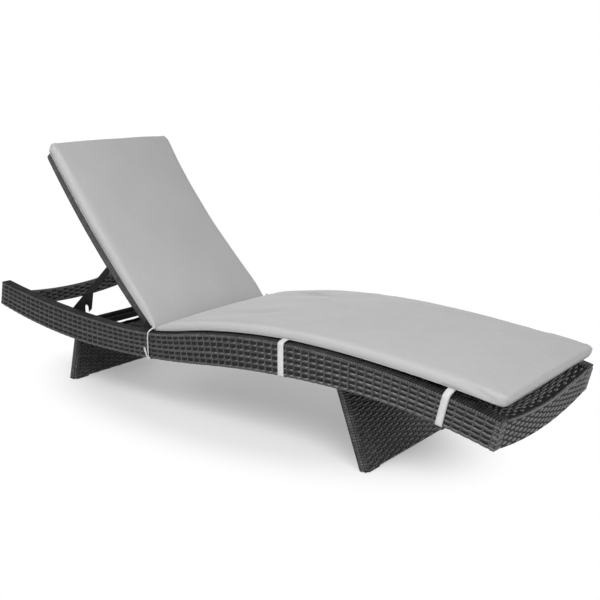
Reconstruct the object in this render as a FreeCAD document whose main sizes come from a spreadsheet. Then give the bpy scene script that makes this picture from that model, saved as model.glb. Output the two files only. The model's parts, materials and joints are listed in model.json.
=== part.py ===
# Sun lounger: wave-shaped woven side rails, a dished woven seat and back, a back that stands on
# two notched prop arms, two folding leg boards, a cushion in two halves, straps and ties.
# Millimetres. +X points to the foot end, +Z is up, the origin is on the floor under the middle.
import FreeCAD, Part
import math
import os
from FreeCAD import Placement, Rotation, Vector

SIZES = {
    # whole frame
    "overall_length": 1956.0,
    "overall_width": 550.0,
    "rail_width": 32.0,
    "skin_wall": 3.0,
    "foot_rake": 15.0,
    "head_rake": 18.0,
    # wave of the rail's upper edge
    "top_crest_x": 390.0,
    "top_crest_z": 326.0,
    "top_dip_x": -312.0,
    "top_dip_z": 256.0,
    "top_crest_share": 0.65,
    "top_foot_radius": 2550.0,
    "top_head_radius": 3700.0,
    # wave of the rail's lower edge
    "low_crest_x": 518.0,
    "low_crest_z": 237.0,
    "low_dip_x": -447.0,
    "low_dip_z": 171.0,
    "low_crest_share": 0.5,
    "low_foot_radius": 1830.0,
    "low_head_radius": 2350.0,
    # steel inside the rails and across the frame
    "rail_tube": 18.0,
    "rail_tube_bore": 15.0,
    "strut": 12.0,
    "rail_end_gap": 22.0,
    "foot_strut_inset": 58.0,
    "head_strut_inset": 118.0,
    "cap_depth": 8.0,
    "cap_gap": 0.2,
    "cross_tube": 19.0,
    "cross_tube_bore": 16.0,
    # seat and aprons
    "deck_drop": 6.0,
    "deck_thickness": 4.0,
    "deck_start_x": -172.0,
    "seat_dish": 22.0,
    "seat_gap": 0.3,
    "last_tube_inset": 223.0,
    "foot_apron_depth": 30.0,
    "foot_apron_height": 72.0,
    "head_apron_inset": 76.0,
    "head_apron_depth": 28.0,
    "head_apron_height": 44.0,
    "head_dish": 20.0,
    "apron_tube": 16.0,
    "apron_tube_bore": 13.0,
    # back
    "hinge_x": -203.0,
    "hinge_drop": 15.5,
    "recline": 43.0,
    "back_end_inset": 62.0,
    "back_side_gap": 6.0,
    "back_drop": 0.5,
    "back_depth": 36.0,
    "back_head_radius": 3000.0,
    "back_side": 26.0,
    "back_wrap": 2.0,
    "back_heel": 14.0,
    "back_dish": 7.0,
    "back_weave_start": 17.0,
    "back_cross_x": -330.0,
    "back_tube": 22.0,
    "back_tube_bore": 18.0,
    "rest_gap": 1.0,
    # pivots
    "bracket": 4.0,
    "bracket_length": 56.0,
    "bracket_height": 28.0,
    "hinge_pin": 12.0,
    "leg_pin": 10.0,
    "leg_pin_reach": 34.0,
    "running_gap": 0.05,
    "face_gap": 0.5,
    "bush_length": 20.0,
    # prop
    "prop_pivot_x": -498.0,
    "prop_pivot_drop": 24.0,
    "prop_lean": 41.4,
    "prop_pin": 10.0,
    "prop_pin_collar": 18.0,
    "prop_pin_collar_depth": 2.0,
    "prop_tube": 20.0,
    "prop_tube_bore": 16.0,
    "arm_thickness": 4.0,
    "arm_half_width": 11.0,
    "arm_flange": 12.0,
    "arm_flange_thickness": 3.0,
    "arm_flange_start": 30.0,
    "catch_bar": 20.0,
    "catch_bar_bore": 16.0,
    "seat_along": 344.0,
    "seat_below": 29.0,
    "tooth_pitch": 55.0,
    "tooth_reach": 45.0,
    "tooth_heel": 41.0,
    "tooth_tip": 17.0,
    "tooth_root": 46.0,
    "notch_gap": 0.7,
    "ramp_angle": 45.0,
    "arm_end": 32.0,
    # leg boards
    "leg_side_gap": 12.5,
    "leg_thickness": 20.0,
    "leg_skin": 3.0,
    "leg_tube": 20.0,
    "leg_tube_bore": 16.0,
    "leg_frame_tube": 13.0,
    "leg_frame_bore": 10.0,
    "leg_frame_inset": 30.5,
    "leg_top_gap": 16.0,
    "front_leg_foot_x": 571.33,
    "front_pivot_z": 271.0,
    "front_lean": 20.3,
    "rear_leg_foot_x": -655.33,
    "rear_pivot_z": 192.0,
    "rear_lean": 14.5,
    "heel_reach": 26.0,
    "heel_width": 14.0,
    "heel_thickness": 6.0,
    "heel_inset": 6.0,
    "heel_sink": 0.8,
    "stop_size": 10.0,
    "glide_height": 4.0,
    "glide_length": 50.0,
    "glide_inset": 40.0,
    # cushion
    "cushion_inset": 13.0,
    "back_cushion_side_inset": 19.0,
    "cushion_thickness": 30.0,
    "cushion_crown": 7.0,
    "cushion_foot_rise": 24.0,
    "seam_crown": 2.0,
    "cushion_side": 9.0,
    "cushion_draw_in": 5.0,
    "cushion_seam": 9.0,
    "cushion_gap": 0.8,
    "seat_cushion_head_x": -184.0,
    "cushion_foot_inset": 4.0,
    "back_cushion_start": 8.0,
    "back_cushion_inset": 48.0,
    # straps and ties
    "strap_width": 20.0,
    "strap_thickness": 1.5,
    "strap_gap": 0.3,
    "strap_top_gap": 3.0,
    "middle_strap_x": 328.0,
    "foot_strap_inset": 150.0,
    "tie_width": 6.0,
    "tie_thickness": 2.0,
    "tie_x": -208.0,
}

# Sizes that follow from others, as formulas of the sheet.
DRIVEN = {
    "head_apron_x": "=head_apron_inset - overall_length / 2",
    "back_end_x": "=back_end_inset - overall_length / 2",
    "back_cushion_end_x": "=back_cushion_inset - overall_length / 2",
    "foot_strap_x": "=overall_length / 2 - foot_strap_inset",
    "last_tube_x": "=overall_length / 2 - last_tube_inset",
    "foot_strut_x": "=overall_length / 2 - foot_strut_inset",
    "head_strut_x": "=head_strut_inset - overall_length / 2",
    "back_half_width": "=overall_width / 2 - rail_width - back_side_gap",
    "hinge_pin_reach": "=back_side_gap + back_side - bracket + bush_length",
    "leg_width": "=overall_width - 2 * rail_width - 2 * leg_side_gap",
    "leg_frame_half_span": "=leg_width / 2 - leg_frame_inset",
    "cushion_width": "=overall_width - 2 * cushion_inset",
    "back_cushion_width": "=overall_width - 2 * back_cushion_side_inset",
    "back_crest_x": "=top_crest_x",
    "back_crest_z": "=top_crest_z",
    "back_dip_x": "=top_dip_x",
    "back_dip_z": "=top_dip_z",
    "back_crest_share": "=top_crest_share",
    "back_foot_radius": "=top_foot_radius",
}
# Where dished tubes cross the seat and struts stand in the rails, apart from those next to the ends.
SEAT_TUBE_PLACES = (-140.0, 30.0, 165.0, 540.0)
STRUT_PLACES = (-661.0, -430.0, -203.0, 30.0, 260.0, 471.0, 700.0)
# Stations along a cushion half: share of its length, share of its full thickness.
CUSHION_STATIONS = ((0.0, 0.0), (0.03, 0.42), (0.08, 0.8), (0.16, 1.0), (0.25, 1.0), (0.34, 1.0),
                    (0.43, 1.0), (0.52, 1.0), (0.61, 1.0), (0.7, 1.0), (0.78, 1.0), (0.86, 1.0),
                    (0.95, 0.96), (0.985, 0.8), (1.0, 0.45))
# Share of the seat cushion's length at which its stiff foot end starts to rise off the rails.
RISE_START = 0.6
# How far a cutting tool runs past the piece that it cuts.
OVERRUN = 1.0

UP = Vector(0, 0, 1)
ACROSS = Vector(0, 1, 0)
SIDES = {"left": 1.0, "right": -1.0}

doc = FreeCAD.newDocument("sun_lounger")
sheet = doc.addObject("Spreadsheet::Sheet", "Sizes")
for row, (alias, value) in enumerate({**SIZES, **DRIVEN}.items(), start=1):
    sheet.set(f"A{row}", alias)
    sheet.set(f"B{row}", str(value))
    sheet.setAlias(f"B{row}", alias)
doc.recompute()
nodes = []


def size(alias):
    """One driving dimension, read from the sheet."""
    return float(sheet.get(alias))


def at(x, z, y=0.0):
    """A point given along, up and across."""
    return Vector(x, y, z)


HALF_LENGTH = size("overall_length") / 2
HALF_WIDTH = size("overall_width") / 2
INNER_FACE = HALF_WIDTH - size("rail_width")
RAIL_MIDDLE = HALF_WIDTH - size("rail_width") / 2
BRACKET_FACE = INNER_FACE - size("bracket")
BACK_INSIDE = size("back_half_width") - size("back_side")
HINGE_BORE = size("hinge_pin") / 2 + size("running_gap")


# The wave of a rail's edge

def wave(edge):
    """Crest, dip and the four radii of an edge: arcs that meet with one tangent."""
    crest = at(size(edge + "_crest_x"), size(edge + "_crest_z"))
    dip = at(size(edge + "_dip_x"), size(edge + "_dip_z"))
    run = crest.x - dip.x
    rise = crest.z - dip.z
    both = (run ** 2 + rise ** 2) / (2 * rise)
    crest_radius = both * size(edge + "_crest_share")
    return crest, dip, crest_radius, both - crest_radius


def turning_x(edge, lift):
    """Where the crest's arc hands over to the dip's arc, on the edge raised by lift."""
    crest, dip, crest_radius, dip_radius = wave(edge)
    share = (crest_radius + lift) / (crest_radius + dip_radius)
    return crest.x + (dip.x - crest.x) * share


def wave_arc(edge, x, lift):
    """Centre x, centre z, radius and side (1 over the centre, -1 under it) of the arc at x."""
    crest, dip, crest_radius, dip_radius = wave(edge)
    if x >= turning_x(edge, lift):
        radius = size(edge + "_foot_radius") if x > crest.x else crest_radius
        return crest.x, crest.z - radius, radius + lift, 1
    radius = size(edge + "_head_radius") if x < dip.x else dip_radius
    return dip.x, dip.z + radius, radius - lift, -1


def wave_z(edge, x, lift=0.0):
    """Height of an edge at x, raised square to itself by lift."""
    centre_x, centre_z, radius, side = wave_arc(edge, x, lift)
    return centre_z + side * math.sqrt(radius ** 2 - (x - centre_x) ** 2)


def wave_slope(edge, x, lift=0.0):
    """Angle of an edge at x, in degrees, positive where it climbs towards the foot."""
    centre_x, _, radius, side = wave_arc(edge, x, lift)
    return -side * math.degrees(math.asin((x - centre_x) / radius))


def wave_edges(edge, lift, x_foot, x_head):
    """The arcs of an edge from x_foot to x_head."""
    crest, dip, _, _ = wave(edge)
    turns = [x for x in (crest.x, turning_x(edge, lift), dip.x) if x_head < x < x_foot]
    stops = [x_foot] + turns + [x_head]
    arcs = []
    for start, end in zip(stops, stops[1:]):
        places = (start, (start + end) / 2, end)
        arcs.append(Part.Arc(*[at(x, wave_z(edge, x, lift)) for x in places]).toShape())
    return arcs


def band_face(upper, lower):
    """The face between two edges, each given as (edge, lift, x_foot, x_head)."""
    over = wave_edges(*upper)
    under = wave_edges(*lower)
    ends = []
    for place in (2, 3):
        points = [at(part[place], wave_z(part[0], part[place], part[1])) for part in (upper, lower)]
        ends.append(Part.LineSegment(*points).toShape())
    return Part.Face(Part.Wire(Part.__sortEdges__(over + under + ends)))


def thick(face, width, middle):
    """A face in the XZ plane given a width across, centred on y = middle."""
    solid = face.extrude(Vector(0, width, 0))
    solid.translate(Vector(0, middle - width / 2, 0))
    return solid


def rail_face(inset, overrun):
    """Side view of a rail, drawn in by inset and longer by overrun at both ends."""
    top = ("top", -inset, HALF_LENGTH + overrun, size("head_rake") - HALF_LENGTH - overrun)
    low = ("low", inset, HALF_LENGTH - size("foot_rake") + overrun, -HALF_LENGTH - overrun)
    return band_face(top, low)


def back_face(outer, start_x, end_x):
    """Side view of the back's edge in its flat place, drawn in by outer."""
    top = ("back", -size("back_drop") - outer, start_x, end_x)
    low = ("back", -size("back_drop") - size("back_depth") + outer, start_x, end_x)
    return band_face(top, low)


# Pieces of the document

def feature(label, shape):
    """A sub-part whose shape is worked out here."""
    piece = doc.addObject("Part::Feature", label)
    piece.Shape = shape
    piece.Label = label
    nodes.append(piece)
    return piece


def group(label, pieces):
    """A sub-part made of several equal solids."""
    gathered = doc.addObject("Part::Compound", label)
    gathered.Links = pieces
    gathered.Label = label
    nodes.append(gathered)
    return gathered


def cylinder_across(name, diameter, reach, x, start_y, z):
    """A round bar along Y. Diameter and reach are expressions of the sheet."""
    bar = doc.addObject("Part::Cylinder", name)
    bar.setExpression("Radius", f"({diameter}) / 2")
    bar.setExpression("Height", reach)
    bar.Placement = Placement(at(x, z, start_y), Rotation(Vector(1, 0, 0), -90))
    return bar


def cut(name, base, tool):
    """Base with tool taken away."""
    result = doc.addObject("Part::Cut", name)
    result.Base = base
    result.Tool = tool
    return result


def tube_across(label, diameter, bore, reach, x, z):
    """A straight tube across the frame, centred on the middle plane."""
    half = doc_value(reach) / 2
    outside = cylinder_across(label + "_outside", diameter, reach, x, -half, z)
    inside = cylinder_across(label + "_inside", bore, reach, x, -half, z)
    return cut(label, outside, inside)


def doc_value(expression):
    """The number that an expression of the sheet stands for."""
    return float(sheet.evalExpression(expression))


def keep(piece, label):
    """Names a finished object as a sub-part."""
    piece.Label = label
    nodes.append(piece)
    return piece


def sketch_on(body, edges, name):
    """A sketch on the body's own XZ plane: sketch x is X, sketch y is Z."""
    plane = next(item for item in body.Origin.OriginFeatures if item.Role == "XZ_Plane")
    sketch = body.newObject("Sketcher::SketchObject", name)
    sketch.AttachmentSupport = [(plane, "")]
    sketch.MapMode = "FlatFace"
    for edge in edges:
        sketch.addGeometry(edge)
    return sketch


def polygon(points):
    """Closed straight-sided outline through (x, z) points, as sketch lines."""
    corners = [Vector(x, z, 0) for x, z in points]
    return [Part.LineSegment(a, b) for a, b in zip(corners, corners[1:] + corners[:1])]


def circle(x, z, diameter):
    """A round hole in a sketch."""
    return Part.Circle(Vector(x, z, 0), UP, diameter / 2)


def pad(body, edges, length, side="Symmetric", reversed_way=False):
    """Gives a sketch a thickness across. Length is an expression of the sheet."""
    added = body.newObject("PartDesign::Pad", body.Name + "_pad")
    added.Profile = sketch_on(body, edges, body.Name + "_outline")
    added.SideType = side
    added.Reversed = reversed_way
    added.setExpression("Length", length)
    return added


def pocket(body, edges, length):
    """Cuts a sketch out of a body, over a length that straddles the sketch's plane."""
    taken = body.newObject("PartDesign::Pocket", body.Name + "_pocket")
    taken.Profile = sketch_on(body, edges, body.Name + "_hollow")
    taken.SideType = "Symmetric"
    taken.setExpression("Length", length)
    return taken


def dished(face, sag, half_span):
    """Sweeps a face of the middle plane along an arc that sags between the rails."""
    radius = (half_span ** 2 + sag ** 2) / (2 * sag)
    box = face.BoundBox
    pivot = Vector(0, 0, box.Center.z + radius)
    half_turn = math.degrees(math.asin(half_span / radius)) + math.degrees(box.ZLength / radius)
    start = face.copy()
    start.rotate(pivot, Vector(1, 0, 0), -half_turn)
    swept = start.revolve(pivot, Vector(1, 0, 0), 2 * half_turn)
    room = Part.makeBox(box.XLength + 2 * OVERRUN, 2 * half_span, 4 * half_span)
    room.translate(Vector(box.XMin - OVERRUN, -half_span, box.Center.z - 2 * half_span))
    return swept.common(room).Solids[0]


def ring(x, z, diameter, bore):
    """A tube's cut end in the middle plane."""
    rims = [Part.Wire(Part.Circle(at(x, z), ACROSS, d / 2).toShape()) for d in (diameter, bore)]
    return Part.Face(rims[0]).cut(Part.Face(rims[1])).Faces[0]


def dished_tube(x, end_z, diameter, bore, sag, half_span):
    """A bowed tube whose ends are at height end_z."""
    return dished(ring(x, end_z - sag, diameter, bore), sag, half_span)


def dished_deck(edge, lift, thickness, sag, half_span, x_foot, x_head):
    """A woven sheet that follows an edge and sags between its two sides."""
    corners = [(-half_span, 0.0), (half_span, 0.0), (half_span, -thickness), (-half_span, -thickness)]
    over = Part.Arc(Vector(0, *corners[0]), Vector(0, 0, -sag), Vector(0, *corners[1]))
    under = Part.Arc(Vector(0, *corners[2]), Vector(0, 0, -sag - thickness), Vector(0, *corners[3]))
    sides = [Part.LineSegment(Vector(0, *corners[a]), Vector(0, *corners[b])) for a, b in ((1, 2), (3, 0))]
    outline = Part.Wire(Part.__sortEdges__([e.toShape() for e in (over, under, *sides)]))
    tilt = Rotation(ACROSS, -wave_slope(edge, x_foot, lift))
    outline.Placement = Placement(at(x_foot, wave_z(edge, x_foot, lift)), tilt)
    path = Part.Wire(wave_edges(edge, lift, x_foot, x_head))
    return path.makePipeShell([outline], True, False)


def swept_tube(edge, lift, x_foot, x_head, diameter, bore):
    """A tube bent along a rail's edge."""
    path = Part.Wire(wave_edges(edge, lift, x_foot, x_head))
    start = at(x_foot, wave_z(edge, x_foot, lift))
    tilt = math.radians(wave_slope(edge, x_foot, lift))
    along = Vector(math.cos(tilt), 0, math.sin(tilt))
    shells = []
    for width in (diameter, bore):
        rim = Part.Wire(Part.Circle(start, along, width / 2).toShape())
        shells.append(path.makePipeShell([rim], True, False))
    return shells[0].cut(shells[1]).Solids[0]


def cushion(edge, start_x, end_x, width, foot_rise):
    """A crowned pad on an edge, its sides drawn in between its corners, its far end raised."""
    sections = []
    for share, fullness in CUSHION_STATIONS:
        x = start_x + (end_x - start_x) * share
        rise = foot_rise * (max(share - RISE_START, 0.0) / (1 - RISE_START)) ** 2
        base = wave_z(edge, x) + size("cushion_gap") + rise
        height = size("cushion_seam") + (size("cushion_thickness") - size("cushion_seam")) * fullness
        crown = size("seam_crown") + (size("cushion_crown") - size("seam_crown")) * fullness
        half = width / 2 - size("cushion_draw_in") * 4 * share * (1 - share)
        seam = half - min(size("cushion_side"), height / 2)
        low = [Vector(x, side * seam, base) for side in (-1, 1)]
        high = [Vector(x, side * seam, base + height) for side in (-1, 1)]
        outline = [
            Part.LineSegment(low[0], low[1]),
            Part.Arc(low[1], Vector(x, half, base + height / 2), high[1]),
            Part.Arc(high[1], Vector(x, 0, base + height + crown), high[0]),
            Part.Arc(high[0], Vector(x, -half, base + height / 2), low[0]),
        ]
        sections.append(Part.Wire([piece.toShape() for piece in outline]))
    return Part.makeLoft(sections, True, False)


# Side rails: woven skin, bent tubes inside, plugs in the ends

def rails():
    """Both rails and what is inside them."""
    wall = size("skin_wall")
    hollow_width = size("rail_width") - 2 * wall
    depth = wall + size("cap_gap") + size("rail_tube") / 2
    ends = (HALF_LENGTH - size("rail_end_gap"), size("head_rake") + size("rail_end_gap") - HALF_LENGTH)
    plugs = []
    for side, sign in SIDES.items():
        middle = sign * RAIL_MIDDLE
        outside = thick(rail_face(0.0, 0.0), size("rail_width"), middle)
        inside = thick(rail_face(wall, wall), hollow_width, middle)
        feature("rail_skin_" + side, outside.cut(inside).Solids[0])
        tubes = [
            swept_tube(edge, lift, ends[0] - size("foot_rake"), ends[1], size("rail_tube"),
                       size("rail_tube_bore"))
            for edge, lift in (("top", -depth), ("low", depth))
        ]
        for x in (size("head_strut_x"), *STRUT_PLACES, size("foot_strut_x")):
            foot = wave_z("low", x, depth)
            reach = wave_z("top", x, -depth) - foot
            strut = Part.makeCylinder(size("strut") / 2, reach, at(x, foot), UP)
            for tube in tubes[:2]:
                strut = strut.cut(Part.Solid(tube.Shells[0]))
            tubes.append(max(strut.Solids, key=lambda solid: solid.Volume))
        frame = Part.makeCompound(tubes)
        frame.translate(Vector(0, middle, 0))
        feature("rail_frame_" + side, frame)
        plug_inset = wall + size("cap_gap")
        plug = thick(rail_face(plug_inset, 0.0), hollow_width - 2 * size("cap_gap"), middle)
        between = thick(rail_face(-wall, -size("cap_depth")), size("rail_width"), middle)
        plugs += plug.cut(between).Solids
    feature("rail_end_plugs", Part.makeCompound(plugs))


def aprons():
    """The woven bands that close the foot end and the head end, with their tubes."""
    wall = size("skin_wall")
    foot_z = wave_z("top", HALF_LENGTH)
    foot_low = wave_z("low", HALF_LENGTH - size("foot_rake"))
    lean = math.degrees(math.atan2(size("foot_rake"), foot_z - foot_low))
    head_x = size("head_apron_x") - size("head_apron_depth")
    head_top = wave_z("back", size("head_apron_x")) - size("back_drop") - size("back_depth")
    head_top -= size("rest_gap")
    bands = {
        "foot_apron": (HALF_LENGTH - size("foot_apron_depth"), foot_z - size("deck_drop"), lean,
                       size("foot_apron_depth"), size("foot_apron_height"), size("seat_dish")),
        "head_apron": (head_x, head_top, 0.0, size("head_apron_depth"), size("head_apron_height"),
                       size("head_dish")),
    }
    for label, (x, top, turn, depth, height, sag) in bands.items():
        corner = at(x, top - height - sag)
        outline = Part.makePlane(depth, height, corner, Vector(0, -1, 0), Vector(1, 0, 0))
        inner = Part.makePlane(depth - 2 * wall, height - 2 * wall, corner + at(wall, wall),
                               Vector(0, -1, 0), Vector(1, 0, 0))
        band = outline.cut(inner).Faces[0]
        pivot = at(x + depth, top - sag)
        band.rotate(pivot, ACROSS, turn)
        feature(label, dished(band, sag, INNER_FACE))
        room = wall + size("cap_gap") + size("apron_tube") / 2
        tubes = []
        for rise in (room, height - room):
            centre = ring(x + depth / 2, corner.z + rise, size("apron_tube"),
                          size("apron_tube_bore"))
            centre.rotate(pivot, ACROSS, turn)
            tubes.append(dished(centre, sag, INNER_FACE))
        feature(label + "_tubes", Part.makeCompound(tubes))


def seat():
    """The woven seat and the bowed tubes under it."""
    lift = -size("deck_drop")
    foot_x = HALF_LENGTH - size("foot_apron_depth") - size("foot_rake")
    feature("seat_weave", dished_deck("top", lift, size("deck_thickness"), size("seat_dish"), INNER_FACE,
                                      foot_x, size("deck_start_x")))
    under = lift - size("deck_thickness") - size("seat_gap") - size("cross_tube") / 2
    for number, x in enumerate((*SEAT_TUBE_PLACES, size("last_tube_x")), start=1):
        end_z = wave_z("top", x, under)
        sag = end_z - wave_z("top", x, under - size("seat_dish"))
        feature(f"seat_tube_{number}",
                dished_tube(x, end_z, size("cross_tube"), size("cross_tube_bore"), sag, INNER_FACE))


# Back: made in its flat place, then turned up about the hinge

HINGE = at(size("hinge_x"), wave_z("back", size("hinge_x")) - size("hinge_drop"))


def raised(shape):
    """A piece of the back, turned from flat to its propped place."""
    shape.rotate(HINGE, ACROSS, size("recline"))
    return shape


def back():
    """Side tubes, their woven wraps, cross tubes and the woven panel."""
    wrap = size("back_wrap")
    start_x = HINGE.x + size("back_heel")
    end_x = size("back_end_x")
    tube_wall = (size("back_tube") - size("back_tube_bore")) / 2
    bore = Part.makeCylinder(HINGE_BORE, 4 * HALF_WIDTH, HINGE - 2 * HALF_WIDTH * ACROSS, ACROSS)
    for side, sign in SIDES.items():
        middle = sign * (size("back_half_width") - size("back_side") / 2)
        outside = thick(back_face(0.0, start_x, end_x), size("back_side"), middle)
        hollow = thick(back_face(wrap, start_x + wrap, end_x - wrap), size("back_side") - 2 * wrap, middle)
        feature("back_wrap_" + side, raised(outside.cut(hollow).cut(bore).Solids[0]))
        inset = wrap + size("cap_gap")
        width = size("back_side") - 2 * inset
        tube = thick(back_face(inset, start_x, end_x), width, middle)
        inner = thick(back_face(inset + tube_wall, start_x + wrap, end_x - wrap), width - 2 * tube_wall,
                      middle)
        feature("back_tube_" + side, raised(tube.cut(inner).cut(bore).Solids[0]))
    sheet_lift = -size("back_drop")
    feature("back_weave", raised(dished_deck("back", sheet_lift, size("deck_thickness"), size("back_dish"),
                                             BACK_INSIDE, HINGE.x - size("back_weave_start"), end_x)))
    under = sheet_lift - size("deck_thickness") - size("seat_gap") - size("back_tube") / 2
    for label, x in (("back_top_tube", end_x + size("back_tube") / 2),
                     ("back_cross_tube", size("back_cross_x"))):
        feature(label, raised(dished_tube(x, wave_z("back", x, under), size("back_tube"),
                                          size("back_tube_bore"), size("back_dish"), BACK_INSIDE)))


def turned(point, angle, about):
    """A point turned about a line across the frame."""
    return about + Rotation(ACROSS, angle).multVec(point - about)


# Prop: two notched arms on a cross tube that turns on pins in the back

PROP_FLAT = at(size("prop_pivot_x"), wave_z("back", size("prop_pivot_x")) - size("prop_pivot_drop"))
PROP = turned(PROP_FLAT, size("recline"), HINGE)
PROP_TURN = -(180.0 + size("prop_lean"))
ARM_OUTSIDE = BACK_INSIDE - size("prop_pin_collar_depth") - size("face_gap")
ARM_MIDDLE = ARM_OUTSIDE - size("arm_thickness") / 2
ARM_INSIDE = ARM_OUTSIDE - size("arm_thickness")


def on_arm(along, below):
    """A point of the propped arm, given along it from its pivot and below its middle line."""
    return PROP + Rotation(ACROSS, PROP_TURN).multVec(at(along, below))


CATCH = on_arm(size("seat_along"), size("seat_below"))


def arm_outline():
    """Side view of an arm: round end, straight bar, two hooked teeth and the seat at the far end."""
    lean = math.radians(size("prop_lean"))
    ramp = math.radians(size("ramp_angle"))
    down = Vector(math.sin(lean), math.cos(lean), 0)
    away = Vector(math.cos(lean), -math.sin(lean), 0)
    radius = size("catch_bar") / 2 + size("notch_gap")
    half = size("arm_half_width")
    edges = [Part.Arc(Vector(0, -half, 0), Vector(-half, 0, 0), Vector(0, half, 0))]

    def lines(*points):
        edges.extend(Part.LineSegment(a, b) for a, b in zip(points, points[1:]))
        return points[-1]

    def reach(start, direction, depth):
        return start + direction * ((depth - start.y) / direction.y)

    first = size("seat_along") - 2 * size("tooth_pitch")
    pen = lines(Vector(0, half, 0), Vector(first - size("tooth_root") - size("tooth_tip"), half, 0))
    for along in (first, first + size("tooth_pitch")):
        bar = Vector(along, size("seat_below"), 0)
        near = bar - away * radius
        far = bar + away * radius
        tip = reach(near, down, size("tooth_reach"))
        lines(pen, Vector(tip.x - size("tooth_tip"), size("tooth_reach"), 0), tip, near)
        edges.append(Part.Arc(near, bar - down * radius, far))
        pen = lines(far, reach(far, down, size("tooth_heel")))
    bar = Vector(size("seat_along"), size("seat_below"), 0)
    slope = Vector(-math.cos(ramp), math.sin(ramp), 0)
    near = bar + Vector(-math.sin(ramp), -math.cos(ramp), 0) * radius
    far = bar + away * radius
    lines(pen, reach(near, slope, size("tooth_heel")), near)
    edges.append(Part.Arc(near, bar - Vector(0, radius, 0), far))
    end = size("seat_along") + size("arm_end")
    lines(far, reach(far, down, size("tooth_heel")), Vector(end, size("seat_below"), 0),
          Vector(end, -half, 0), Vector(0, -half, 0))
    edges.append(circle(0, 0, size("prop_pin") + 2 * size("running_gap")))
    return edges


def prop():
    """The arms, the tube between them, its bushes and the pins in the back."""
    half = size("arm_half_width")
    for side, sign in SIDES.items():
        body = doc.addObject("PartDesign::Body", "prop_arm_" + side)
        pad(body, arm_outline(), "Sizes.arm_thickness")
        flange = [(size("arm_flange_start"), -half), (size("seat_along"), -half),
                  (size("seat_along"), size("arm_flange_thickness") - half),
                  (size("arm_flange_start"), size("arm_flange_thickness") - half)]
        pad(body, polygon(flange), "Sizes.arm_flange + Sizes.arm_thickness / 2", "One side", sign < 0)
        body.Placement = Placement(PROP + sign * ARM_MIDDLE * ACROSS, Rotation(ACROSS, PROP_TURN))
        keep(body, "prop_arm_" + side)
    inside = f"{2 * ARM_INSIDE}"
    keep(tube_across("prop_tube", "Sizes.prop_tube", "Sizes.prop_tube_bore", inside, PROP.x, PROP.z),
         "prop_tube")
    group("prop_bushes", bush_pair("prop_bush", "prop_tube_bore", "prop_pin", ARM_INSIDE, PROP))
    pins = []
    for side, sign in SIDES.items():
        inner = ARM_INSIDE - size("bush_length")
        shank = cylinder_between("prop_pin_shank_" + side, "Sizes.prop_pin", sign * BACK_INSIDE,
                                 sign * inner, PROP)
        collar = cylinder_between("prop_pin_collar_" + side, "Sizes.prop_pin_collar", sign * BACK_INSIDE,
                                  sign * (BACK_INSIDE - size("prop_pin_collar_depth")), PROP)
        pin = doc.addObject("Part::Fuse", "prop_pin_" + side)
        pin.Base = shank
        pin.Tool = collar
        pins.append(pin)
    group("prop_pins", pins)


def cylinder_between(name, diameter, start_y, end_y, place):
    """A round bar across the frame between two places, through a point."""
    low = min(start_y, end_y)
    return cylinder_across(name, diameter, f"{abs(end_y - start_y)}", place.x, low, place.z)


def bush_pair(name, outside, pin, end_y, place, flange=0.0):
    """A plain sleeve in each end of a tube, with an optional collar out to the bracket."""
    bushes = []
    for side, sign in SIDES.items():
        inner = end_y - size("bush_length")
        sleeve = cylinder_between(f"{name}_sleeve_{side}", f"Sizes.{outside}", sign * inner,
                                  sign * end_y, place)
        if flange:
            collar = cylinder_between(f"{name}_collar_{side}", f"Sizes.{outside} + 2 * Sizes.leg_skin",
                                      sign * end_y, sign * (end_y + flange), place)
            whole = doc.addObject("Part::Fuse", f"{name}_whole_{side}")
            whole.Base = sleeve
            whole.Tool = collar
            sleeve = whole
        hole = cylinder_between(f"{name}_hole_{side}", f"Sizes.{pin} + 2 * Sizes.running_gap",
                                sign * (inner - OVERRUN), sign * (end_y + flange + OVERRUN), place)
        bushes.append(cut(f"{name}_{side}", sleeve, hole))
    return bushes


# Pivots on the rails: a plate with its pin, and a stop on the leg plates

def brackets(label, place, pin, pin_reach, stop=None):
    """Left and right plates on the rails' inner faces, and the pins that stand on them."""
    half = size("bracket_length") / 2
    rise = size("bracket_height") / 2
    plate = [(place.x - half, place.z - rise), (place.x + half, place.z - rise),
             (place.x + half, place.z + rise), (place.x - half, place.z + rise)]
    plates = []
    pins = []
    for side, sign in SIDES.items():
        body = doc.addObject("PartDesign::Body", f"{label}_bracket_{side}")
        pad(body, polygon(plate), "Sizes.bracket", "One side", sign < 0)
        if stop:
            pad(body, polygon(stop), "Sizes.leg_side_gap + Sizes.heel_inset + Sizes.heel_thickness",
                "One side", sign < 0)
        body.Placement = Placement(sign * INNER_FACE * ACROSS, Rotation())
        plates.append(body)
        pins.append(cylinder_between(f"{label}_pin_{side}", f"Sizes.{pin}", sign * BRACKET_FACE,
                                     sign * (BRACKET_FACE - size(pin_reach)), place))
    group(label + "_brackets", plates)
    group(label + "_pins", pins)


# Leg boards

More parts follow.
